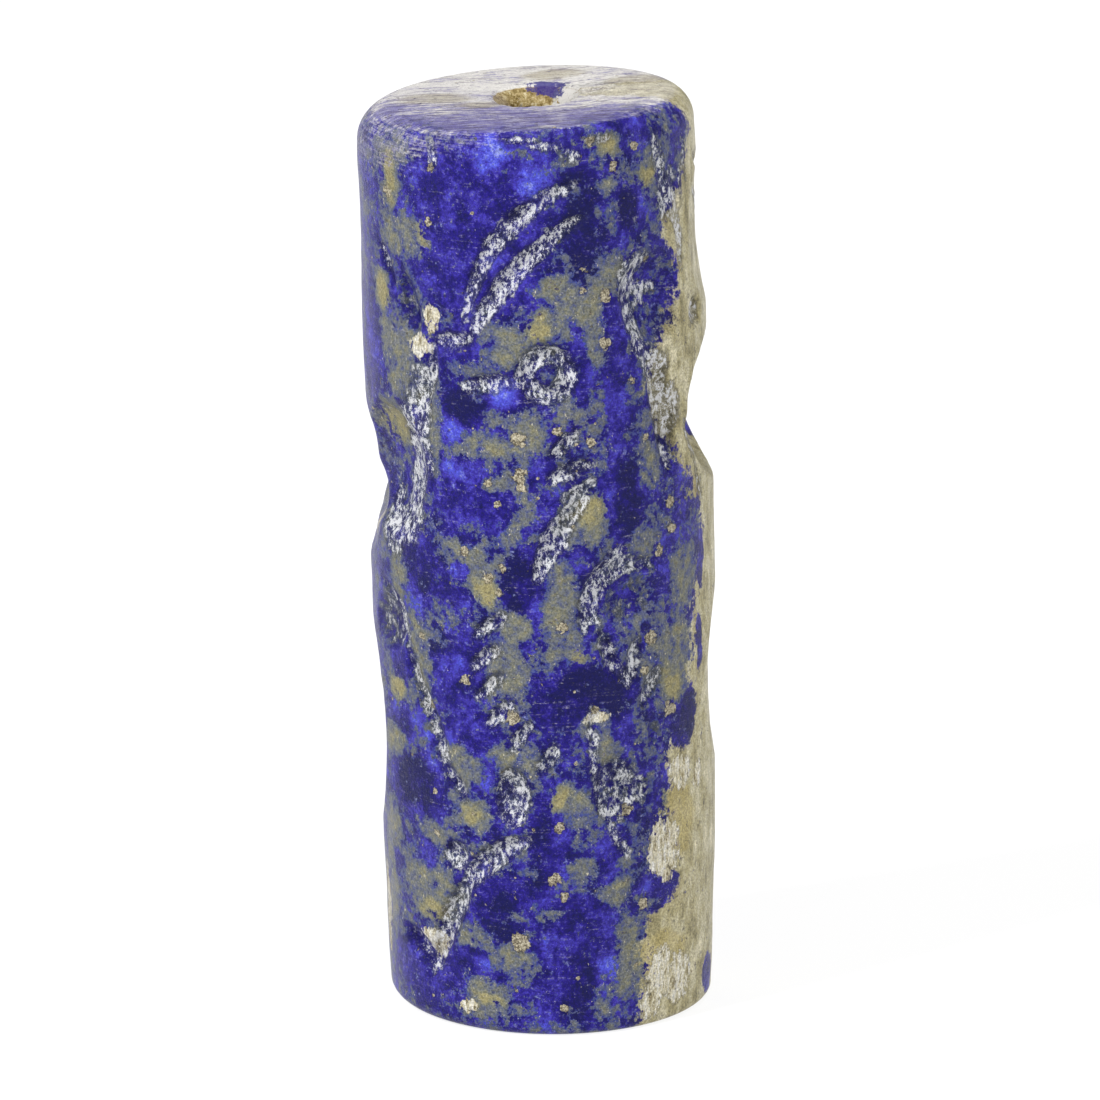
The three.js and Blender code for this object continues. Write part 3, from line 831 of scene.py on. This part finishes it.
def clouded(clouds):
    """How far inside any of the clouds each point lies, from 0 to 1."""
    most = blank_map()
    for turn_off, rise_up, half_width, half_height in clouds:
        sideways = round_front(cloud_turn - turn_off) * MM_PER_DEGREE / half_width
        upward = (cloud_height - rise_up * MM_PER_RISE) / half_height
        below = np.maximum(inward - CLOUD_SKIN_MM, 0) / CLOUD_DEPTH_MM
        out = np.sqrt(sideways**2 + upward**2 + below**2)
        most = np.maximum(most, 1 - between(CLOUD_CORE, CLOUD_REACH, out))
    return most


vein_left = np.interp(height / MM_PER_RISE, *zip(*VEIN_LEFT_EDGE))
seen_turn = round_front(cloud_turn)
vein = between(-VEIN_SOFTNESS_DEG, VEIN_SOFTNESS_DEG, seen_turn - vein_left)
vein_right = np.interp(height / MM_PER_RISE, *zip(*VEIN_RIGHT_EDGE))
vein *= 1 - between(-VEIN_SOFTNESS_DEG, VEIN_SOFTNESS_DEG, seen_turn - vein_right)
blue = clouded(BLUE_CLOUDS)
chalk = clouded(CHALK_CLOUDS)
lip_x, lip_y, lip_half = LIP_CHALK
beside_mouth = 1 - between(CLOUD_CORE, CLOUD_REACH, np.hypot(x - lip_x, y - lip_y) / lip_half)
chalk[~cut_rows] = LIP_CHALK_SHARE * beside_mouth[~cut_rows]
in_mouth = (row_section == "upper_mouth")[:, None]
chalk_turn, chalk_half = LIP_CHALK_TURN
chalk_off = np.abs(round_front(turn - chalk_turn)) / chalk_half
chalk += LIP_CHALK_SHARE * in_mouth * (1 - between(*LIP_CHALK_EDGE, chalk_off))
back = between(*BACK_TURNS, np.abs(seen_turn))
back_clouds = mixed(*BACK_CLOUD_RANGE, between(*BACK_CLOUD_STEP, shake(61.3, BACK_CLOUD_SIZE)))
maps = {
    "grey": mixed(clouded(GREY_CLOUDS) - blue, back_clouds, back),
    "deep": clouded(DEEP_CLOUDS),
    "bright": clouded(BRIGHT_CLOUDS),
    "ochre": clouded(OCHRE_CLOUDS),
    "chalk": chalk,
    "vein": vein * (1 - blue),
    "frost": frost,
    # the wall map carries the painted shade of the cut walls
    "wall": wall,
}
print("numbers on each point so far:", ", ".join(maps))

# %% [markdown]
# ## Grains of pyrite
# Pyrite sits in small brassy grains. The largest are placed here as (turn, rise, radius in
# millimetres), and the material scatters the small ones.

# %% Place the large grains
GRAINS = [
    (-34, 95.4, 0.19), (-55, 91.9, 0.3), (-35, 89.5, 0.24), (22, 98.6, 0.23), (30, 95.7, 0.22),
    (39, 97.5, 0.22), (17, 85.1, 0.16), (17, 82.8, 0.18), (25, 82, 0.28), (24, 77, 0.28),
    (44, 85.1, 0.15), (33, 72.5, 0.2), (7, 67.8, 0.22), (-6, 66.8, 0.32), (-6, 63, 0.3),
    (-6, 61.6, 0.2), (-17, 62, 0.19), (-14, 59.6, 0.18), (-26, 54.1, 0.24), (-13, 52.7, 0.18),
    (-14, 49.9, 0.2), (-18, 51.5, 0.24), (18, 66.3, 0.24), (38, 66.2, 0.18), (48, 58.5, 0.28),
    (48, 55.6, 0.25), (42, 53.5, 0.25), (-44, 43.8, 0.2), (-42, 36.2, 0.24), (-27, 39.9, 0.26),
    (6, 46.2, 0.24), (38, 44.1, 0.34), (35, 40.5, 0.22), (46, 35.7, 0.35), (16, 36.8, 0.2),
    (-11, 36.1, 0.3), (-41, 26.7, 0.16), (-41, 21.9, 0.2), (-10, 10.7, 0.42), (4, 23.8, 0.28),
    (2, 18, 0.32), (5, 16.1, 0.24), (34, 14.3, 0.3), (28, 25.1, 0.25), (5, 3.3, 0.22),
]
GRAIN_EDGE = (0.5, 1.3)

grains = blank_map()
for turn_off, rise_up, radius in GRAINS:
    sideways = round_front(flat_turn - turn_off) * MM_PER_DEGREE
    out = np.hypot(sideways, height - rise_up * MM_PER_RISE) / radius
    grains = np.maximum(grains, 1 - between(*GRAIN_EDGE, out))
grains[~cut_rows] = 0
print("large grains:", len(GRAINS))

# %% [markdown]
# ## Rubbed stone
# The upper end was rubbed pale, and so was the rim below it on the left. It is lavender towards the
# front, where its border is broken up, and has tan spots. The far left side has a thin painted sheen,
# a lavender reflection. Inside the bore's mouth the stone is ochre, with a blue patch. Each of these is
# one more number on the points.

# %% Map the rubbed stone
SHEEN_STARTS = (58, 80)
SHEEN_ENDS = (105, 140)
SIDE_SHEEN = 0.2
FRONT_OF_FACE = (0.6, -4.4)
FACE_SLANT = 0.35
RUBBED_LEFT = 0.4
RUBBED_LEFT_TURNS = (-5, 40)
RUBBED_EDGE = (0.5, 0.9)
CORNER_BAND = (0.972, 1.0)
RIM_BREAK = 0.45
RIM_BREAK_TURNS = (35, 80)
RIM_BREAK_REACH = (0, 0.35)
TAN_ON_FACE = [(-3.9, 0.4, 2.0), (-2.2, -0.9, 1.2), (3.8, 1.6, 1.8), (0.6, 3.6, 1.6)]
TAN_FLATNESS = 1.6
TAN_EDGE = (0.4, 1.2)
MOUTH_BAND = (0, 0.25)
BLUE_SLOPE_TURN = (164, 28)
BLUE_SLOPE_EDGE = (0.2, 1.6)
BLUE_SLOPE_BANDS = {"upper_mouth": (0.7, 0.35), "top_face": (0.84, 1)}

to_the_left = -round_front(flat_turn)
face = blank_map()
rubbed_left = RUBBED_LEFT * between(*RUBBED_LEFT_TURNS, -round_front(turn))
rows, part = ring("top_edge")
face[rows] = mixed(rubbed_left, 1, between(*RUBBED_EDGE, part))
face[(row_section == "top_face") | (row_section == "upper_mouth")] = 1
rows, part = ring("side")
face[rows] = rubbed_left * between(*CORNER_BAND, part)
face_tan = blank_map()
for spot_x, spot_y, spot_half in TAN_ON_FACE:
    away = np.hypot(x - spot_x, (y - spot_y) * TAN_FLATNESS) / spot_half
    face_tan = np.maximum(face_tan, face * (1 - between(*TAN_EDGE, away)))
mouth = blank_map()
rows, part = ring("upper_mouth")
mouth[rows] = between(*MOUTH_BAND, part)
slope_turn, slope_half = BLUE_SLOPE_TURN
on_slope = 1 - between(*BLUE_SLOPE_EDGE, np.abs(round_front(turn - slope_turn)) / slope_half)
blue_slope = blank_map()
for section, band in BLUE_SLOPE_BANDS.items():
    rows, part = ring(section)
    blue_slope[rows] = between(*band, part) * on_slope
front = face * between(*FRONT_OF_FACE, y + FACE_SLANT * x)
near_front = RIM_BREAK * (1 - between(*RIM_BREAK_TURNS, np.abs(round_front(turn))))
rows, part = ring("top_edge")
face[rows] *= 1 - near_front * between(*RUBBED_EDGE, part)
rows, part = ring("top_face")
face[rows] *= 1 - near_front * (1 - between(*RIM_BREAK_REACH, part))
# Painted sheen: a thin lavender reflection painted on the far left side.
painted_sheen = SIDE_SHEEN * between(*SHEEN_STARTS, to_the_left) * (1 - between(*SHEEN_ENDS, to_the_left))
maps |= {"grains": grains, "face": face, "front": front, "face_tan": face_tan}
maps |= {"mouth": mouth, "blue_slope": blue_slope, "painted_sheen": painted_sheen}
for name, values in maps.items():
    layer = stone_mesh.attributes.new(name, "FLOAT", "POINT")
    flat = np.zeros(len(points), np.float32)
    flat[grid_index] = values
    layer.data.foreach_set("value", flat)
print("maps on the mesh:", ", ".join(maps))

# %% [markdown]
# ## The material: its tools
# A node material is easier to read as a recipe than as a list of links. These helpers make one node
# each and give back its output, so that a formula can be written on one line. Colours are named as
# they look, from 0 to 255, and turned into the linear values that the shader needs. The amounts in a
# recipe were found by trying: a larger one gives its noise or its map more say.

# %% Helpers for node recipes
TENT_LIGHT = 1.4
TENT_HAZE = 0.016

lapis = bpy.data.materials.new("worn_lapis")
lapis.use_nodes = True
tree = lapis.node_tree
shader = tree.nodes["Principled BSDF"]


def node(kind, inputs, **settings):
    """Adds a node, sets it up, and links or fills its inputs."""
    made = tree.nodes.new("ShaderNode" + kind)
    for name, value in settings.items():
        setattr(made, name, value)
    for name, value in inputs.items():
        if isinstance(value, bpy.types.NodeSocket):
            tree.links.new(value, made.inputs[name])
        else:
            made.inputs[name].default_value = value
    return made


def paint(red, green, blue_part):
    """A colour as it looks in the tent, made linear and freed from the tent's light and gloss."""
    parts = [((value / 255 + 0.055) / 1.055) ** 2.4 for value in (red, green, blue_part)]
    return (*[max(part - TENT_HAZE, 0.001) / TENT_LIGHT for part in parts], 1)


def calc(operation, a, b):
    """One sum of two numbers."""
    return node("Math", {0: a, 1: b}, operation=operation).outputs[0]


def times(a, b):
    """One number times another."""
    return calc("MULTIPLY", a, b)


def rest_of(part):
    """What a share leaves of one."""
    return calc("SUBTRACT", 1.0, part)


def stepped(value, low, high, to_low=0.0, to_high=1.0):
    """A smooth step of a value, from to_low at low to to_high at high."""
    inputs = {"Value": value, "From Min": low, "From Max": high, "To Min": to_low, "To Max": to_high}
    return node("MapRange", inputs, interpolation_type="SMOOTHSTEP").outputs[0]


def blended(factor, a, b):
    """One colour over another."""
    return node("Mix", {0: factor, 6: a, 7: b}, data_type="RGBA").outputs[2]


def shaded(colour, factor):
    """A colour made lighter or darker."""
    return node("VectorMath", {0: colour, "Scale": factor}, operation="SCALE").outputs[0]


def painted(value, stops):
    """A colour ramp: stops are (position, colour)."""
    ramp = node("ValToRGB", {"Fac": value})
    elements = ramp.color_ramp.elements
    while len(elements) < len(stops):
        elements.new(0.5)
    for element, (position, colour) in zip(elements, stops):
        element.position = position
        element.color = colour
    return ramp.outputs[0]


def mapped(name):
    """One of the numbers kept on the points."""
    return node("Attribute", {}, attribute_name=name).outputs["Fac"]


def moved(scale, shift=(0, 0, 0)):
    """Coordinates in millimetres, stretched and shifted."""
    return node("Mapping", {"Vector": millimetres, "Scale": scale, "Location": shift}).outputs[0]


def cloud_noise(vector, scale, detail, roughness, distortion=0.0):
    """Noise from 0 to 1. More detail adds finer layers, and more roughness makes them count."""
    inputs = {"Scale": scale, "Detail": detail, "Roughness": roughness, "Distortion": distortion}
    return node("TexNoise", {"Vector": vector, **inputs}).outputs["Fac"]


object_place = node("TexCoord", {}).outputs["Object"]
millimetres = node("VectorMath", {0: object_place, "Scale": 1 / MM}, operation="SCALE").outputs[0]
print("nodes so far:", len(tree.nodes))

# %% [markdown]
# ## The stone's colours
# One number decides which mineral shows: the hand-placed clouds, plus noise of several sizes that
# breaks them into islands with ragged edges. A ramp turns it from slate to grey-green and ochre. A
# second number makes the blue itself cloudy, from indigo to a milky blue. Last, fine crystals make
# every colour lighter here and darker there.

# %% Mix blue, grey and ochre
INDIGO = paint(34, 31, 86)
ULTRAMARINE = paint(44, 37, 124)
VIOLET_BLUE = paint(70, 62, 168)
BRIGHT_BLUE = paint(84, 90, 212)
MILKY_BLUE = paint(160, 170, 220)
SLATE_BLUE = paint(72, 82, 144)
SLATE = paint(86, 92, 124)
GREY_GREEN = paint(110, 114, 120)
OLIVE = paint(128, 128, 112)
OCHRE = paint(156, 148, 108)


def centred(value, amount):
    """Noise made to swing about zero."""
    return times(calc("SUBTRACT", value, 0.5), amount)


def summed(*values):
    """The sum of several numbers."""
    total = values[0]
    for value in values[1:]:
        total = calc("ADD", total, value)
    return total


patches = cloud_noise(moved((1, 1, 0.85), (3.7, 1.2, 8.1)), 0.8, detail=5, roughness=0.62, distortion=0.5)
fine_patches = cloud_noise(moved((1, 1, 1), (9.1, 4.4, 2.3)), 2.1, detail=5, roughness=0.68)
ragged = cloud_noise(millimetres, 5.5, detail=5, roughness=0.78)
crystals = cloud_noise(millimetres, 12.0, detail=3, roughness=0.8)

mineral = summed(
    times(mapped("grey"), 0.36),
    centred(patches, 1.0),
    centred(fine_patches, 1.9),
    centred(ragged, 1.0),
)
grey_share = stepped(mineral, -0.02, 0.05)
warmth = summed(
    times(mineral, 1.1),
    times(mapped("ochre"), 0.55),
    centred(cloud_noise(millimetres, 3.1, detail=4, roughness=0.7), 0.9),
)
grey_colour = painted(
    warmth,
    [(0.0, SLATE_BLUE), (0.12, SLATE), (0.34, GREY_GREEN), (0.6, OLIVE), (0.95, OCHRE)],
)

depth_of_blue = summed(
    0.42,
    centred(cloud_noise(moved((1, 1, 1), (1.3, 7.7, 5.5)), 1.1, detail=5, roughness=0.62), 1.2),
    centred(ragged, 0.9),
    centred(fine_patches, 0.5),
    times(mapped("deep"), -0.26),
    times(mapped("bright"), 0.24),
)
blue_colour = painted(
    depth_of_blue,
    [(0.15, INDIGO), (0.38, ULTRAMARINE), (0.56, VIOLET_BLUE), (0.76, BRIGHT_BLUE), (1.0, MILKY_BLUE)],
)
fleck_noise = cloud_noise(moved((1, 1, 1), (6.1, 2.2, 9.7)), 2.6, detail=5, roughness=0.7)
blue_flecks = stepped(fleck_noise, 0.6, 0.74)
blue_colour = blended(times(blue_flecks, 0.7), blue_colour, MILKY_BLUE)
colour = blended(grey_share, blue_colour, grey_colour)
print("nodes so far:", len(tree.nodes))

# %% [markdown]
# ## The tan vein and chalk
# A fibrous tan vein runs down the right side, its fibres upright: noise stretched along Z. Chalky
# patches are crushed white stone, and cream crumbs lie in the grey clouds.

# %% Add the vein and the chalk
TAN = paint(178, 169, 130)
TAN_DARK = paint(132, 124, 92)
TAN_PALE = paint(198, 191, 160)
CREAM = paint(228, 219, 186)
CHALK = paint(252, 250, 243)
CHALK_SHADE = paint(138, 124, 86)
TAN_OCHRE = paint(184, 168, 108)

fibres = cloud_noise(moved((1.5, 1.5, 0.7)), 1.0, detail=6, roughness=0.7)
vein_number = summed(mapped("vein"), centred(ragged, 1.3), centred(fine_patches, 1.7))
vein_share = stepped(vein_number, 0.4, 0.62)
vein_colour = painted(fibres, [(0.34, TAN_DARK), (0.47, TAN), (0.57, TAN_PALE), (0.68, CREAM)])
ochre_share = stepped(summed(mapped("ochre"), centred(fine_patches, 1.2)), 0.3, 0.8)
vein_colour = blended(times(ochre_share, 0.55), vein_colour, TAN_OCHRE)
colour = blended(vein_share, colour, vein_colour)

crumbs = cloud_noise(moved((1.3, 1.3, 0.7)), 5.5, detail=4, roughness=0.75)
chalk_number = summed(mapped("chalk"), centred(crumbs, 2.4), centred(fine_patches, 1.6))
chalk_share = times(stepped(chalk_number, 0.5, 0.66), 0.92)
streaks = cloud_noise(moved((5, 5, 1.3)), 1.0, detail=6, roughness=0.85)
chalk_colour = painted(streaks, [(0.4, CHALK_SHADE), (0.47, CREAM), (0.58, CHALK)])
colour = blended(chalk_share, colour, chalk_colour)

crumb_share = times(stepped(crumbs, 0.62, 0.68), calc("MAXIMUM", grey_share, vein_share))
colour = blended(times(crumb_share, 0.8), colour, CREAM)
# Painted glints: tiny white specks scattered over the whole surface.
spark_noise = cloud_noise(moved((1, 1, 1), (2.9, 6.3, 4.8)), 4.2, detail=5, roughness=0.9)
painted_glints = stepped(spark_noise, 0.655, 0.69)
colour = blended(times(painted_glints, 0.75), colour, CHALK)
colour = shaded(colour, stepped(crystals, 0.36, 0.64, 0.66, 1.36))
print("nodes so far:", len(tree.nodes))

# %% [markdown]
# ## The rubbed end
# The upper end was rubbed to a pale beige, lavender towards the front and crossed by fine scratches.
# Inside the bore's mouth the stone is ochre, with a blue patch on the far slope.

# %% Add the rubbed end and the mouth
FACE_PALE = paint(222, 219, 214)
FACE_GREY = paint(198, 194, 194)
FACE_LAVENDER = paint(158, 155, 186)
FACE_TAN = paint(168, 160, 136)
FACE_DARK = paint(92, 84, 106)
FACE_BLUE = paint(112, 106, 160)
MOUTH_OCHRE = paint(178, 158, 108)
MOUTH_DARK = paint(112, 92, 52)

round_scratches = cloud_noise(moved((0.5, 0.5, 12)), 1.0, detail=5, roughness=0.75)
face_scratches = cloud_noise(moved((0.7, 5.5, 5.5)), 1.0, detail=5, roughness=0.72)
lavender_number = summed(
    times(mapped("front"), 0.36),
    centred(face_scratches, 1.7),
    centred(patches, 1.0),
    centred(ragged, 0.8),
)
face_colour = painted(
    lavender_number,
    [(0.0, FACE_PALE), (0.1, FACE_GREY), (0.24, FACE_LAVENDER), (0.5, FACE_BLUE)],
)
tan_number = summed(mapped("face_tan"), centred(face_scratches, 2.2), centred(ragged, 0.8))
tan_share = stepped(tan_number, 0.3, 1.0)
face_colour = blended(times(tan_share, 0.7), face_colour, FACE_TAN)
dark_lines = cloud_noise(moved((0.8, 6, 6), (4.4, 2.1, 7.3)), 1.0, detail=5, roughness=0.75)
dark_number = summed(dark_lines, times(mapped("front"), 0.05))
face_colour = blended(stepped(dark_number, 0.54, 0.64, 0.0, 0.8), face_colour, FACE_DARK)
face_colour = shaded(face_colour, stepped(crystals, 0.36, 0.64, 0.86, 1.12))
face_edge = summed(mapped("face"), centred(ragged, 1.7), centred(round_scratches, 1.7))
beside_vein = rest_of(times(vein_share, 0.6))
face_share = times(stepped(face_edge, 0.16, 0.84), beside_vein)
colour = blended(face_share, colour, face_colour)
mouth_share = stepped(summed(mapped("mouth"), centred(fine_patches, 0.8)), 0.3, 0.6)
mouth_colour = painted(ragged, [(0.38, MOUTH_DARK), (0.52, MOUTH_OCHRE), (0.66, CREAM)])
colour = blended(mouth_share, colour, mouth_colour)
mouth_chalk = stepped(summed(chalk_number, centred(ragged, 1.0)), 0.5, 0.6)
colour = blended(times(mouth_chalk, mouth_share), colour, FACE_PALE)
slope_number = summed(mapped("blue_slope"), centred(fine_patches, 2.4), centred(ragged, 2.0))
slope_share = stepped(slope_number, 0.46, 0.62)
colour = blended(times(slope_share, 0.88), colour, ULTRAMARINE)
# Painted sheen: the lavender reflection on the far left side, in the face's lavender.
sheen_veil = times(mapped("painted_sheen"), stepped(patches, 0.35, 0.65, 0.3, 1.0))
colour = blended(sheen_veil, colour, FACE_LAVENDER)
print("nodes so far:", len(tree.nodes))

# %% [markdown]
# ## Frosted cuts and pyrite
# On the floor of the cuts the stone is crushed to grains: white specks, partly crushed stone and partly
# painted glints, beside dark specks of painted shade. Painted shade darkens the walls.
# Pyrite grains are brassy, mottled and outlined in shadow, and the smallest are scattered at random.

# %% Add the frost and the grains
GRIT_AND_GLINT_WHITE = paint(250, 251, 255)
FROST_GREY = paint(128, 134, 162)
BRASS_DARK = paint(92, 84, 70)
BRASS = paint(164, 154, 128)
BRASS_PALE = paint(222, 214, 188)
GRAIN_SHADOW = paint(36, 32, 62)

frost_map = mapped("frost")
frost_zone = stepped(summed(frost_map, centred(fine_patches, 1.6), centred(ragged, 1.4)), 0.2, 0.7)
specks = cloud_noise(moved((1, 1, 0.6)), 5.6, detail=5, roughness=0.86)
salt_number = summed(specks, times(frost_map, 0.07), centred(fine_patches, 0.35))
# White specks: crushed white stone, with painted glints among them.
white_grit_and_glints = times(stepped(salt_number, 0.555, 0.605), frost_zone)
# Painted shade: dark specks stand for the shade in tiny pits.
painted_pit_shade = times(stepped(specks, 0.47, 0.41), frost_zone)
colour = blended(times(frost_zone, 0.2), colour, FROST_GREY)
colour = shaded(colour, rest_of(times(painted_pit_shade, 0.55)))
# Painted shade on the steep walls of the cuts, from the wall map.
painted_wall_shade = times(mapped("wall"), stepped(ragged, 0.35, 0.6, 0.32, 0.05))
colour = shaded(colour, rest_of(painted_wall_shade))
colour = blended(times(white_grit_and_glints, 0.96), colour, GRIT_AND_GLINT_WHITE)

cells = node("TexVoronoi", {"Vector": millimetres, "Scale": 1.3}, feature="F1")
chance = calc("GREATER_THAN", node("SeparateColor", {0: cells.outputs["Color"]}).outputs[0], 0.72)
small_grain = times(stepped(cells.outputs["Distance"], 0.14, 0.04), chance)
grain_shape = cloud_noise(moved((1, 1, 1), (5.5, 3.3, 1.1)), 3.6, detail=3, roughness=0.6)
grain_map = calc("MAXIMUM", mapped("grains"), small_grain)
grain_number = summed(grain_map, centred(grain_shape, 2.6), centred(ragged, 1.2))
grain_share = stepped(grain_number, 0.56, 0.64)
shadow_share = times(stepped(grain_number, 0.36, 0.54), 0.55)
grain_colour = painted(crystals, [(0.4, BRASS_DARK), (0.5, BRASS), (0.62, BRASS_PALE)])
colour = blended(shadow_share, colour, GRAIN_SHADOW)
colour = blended(times(grain_share, 0.9), colour, grain_colour)
print("nodes so far:", len(tree.nodes))

# %% [markdown]
# ## Polish and relief
# The outside kept a soft polish, while cuts, chalk and the rubbed end are duller. Bump adds what is too
# fine for the mesh: crystals in the cuts, a slight grain, and hairline scratches on the rubbed end.

# %% Set the roughness and the bump
POLISH = 0.34
SPECULAR_LEVEL = 0.18
BUMP_MM = 0.12

roughness = summed(
    POLISH,
    centred(fine_patches, 0.3),
    times(frost_zone, 0.2),
    times(chalk_share, 0.3),
    times(face_share, 0.15),
)
dullness = calc("MAXIMUM", frost_zone, times(chalk_share, 0.7))
relief = summed(
    times(specks, summed(0.2, dullness)),
    times(ragged, 0.4),
    times(face_scratches, times(mapped("face"), 0.5)),
    times(grain_share, 0.2),
)
bump = node("Bump", {"Height": relief, "Distance": BUMP_MM * MM, "Strength": 1.0})
tree.links.new(colour, shader.inputs["Base Color"])
tree.links.new(roughness, shader.inputs["Roughness"])
tree.links.new(bump.outputs[0], shader.inputs["Normal"])
shader.inputs["Specular IOR Level"].default_value = SPECULAR_LEVEL
print("nodes in the finish:", len(tree.nodes))

# %% [markdown]
# ## Put the stone in its place
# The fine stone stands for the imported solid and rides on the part's one body.

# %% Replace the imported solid
seal = bpy.data.objects.new("seal_stone", stone_mesh)
scene.collection.objects.link(seal)
stone_mesh.materials.append(lapis)
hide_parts(NODE)
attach(seal, "root")
print("faces of the fine stone:", len(stone_mesh.polygons))
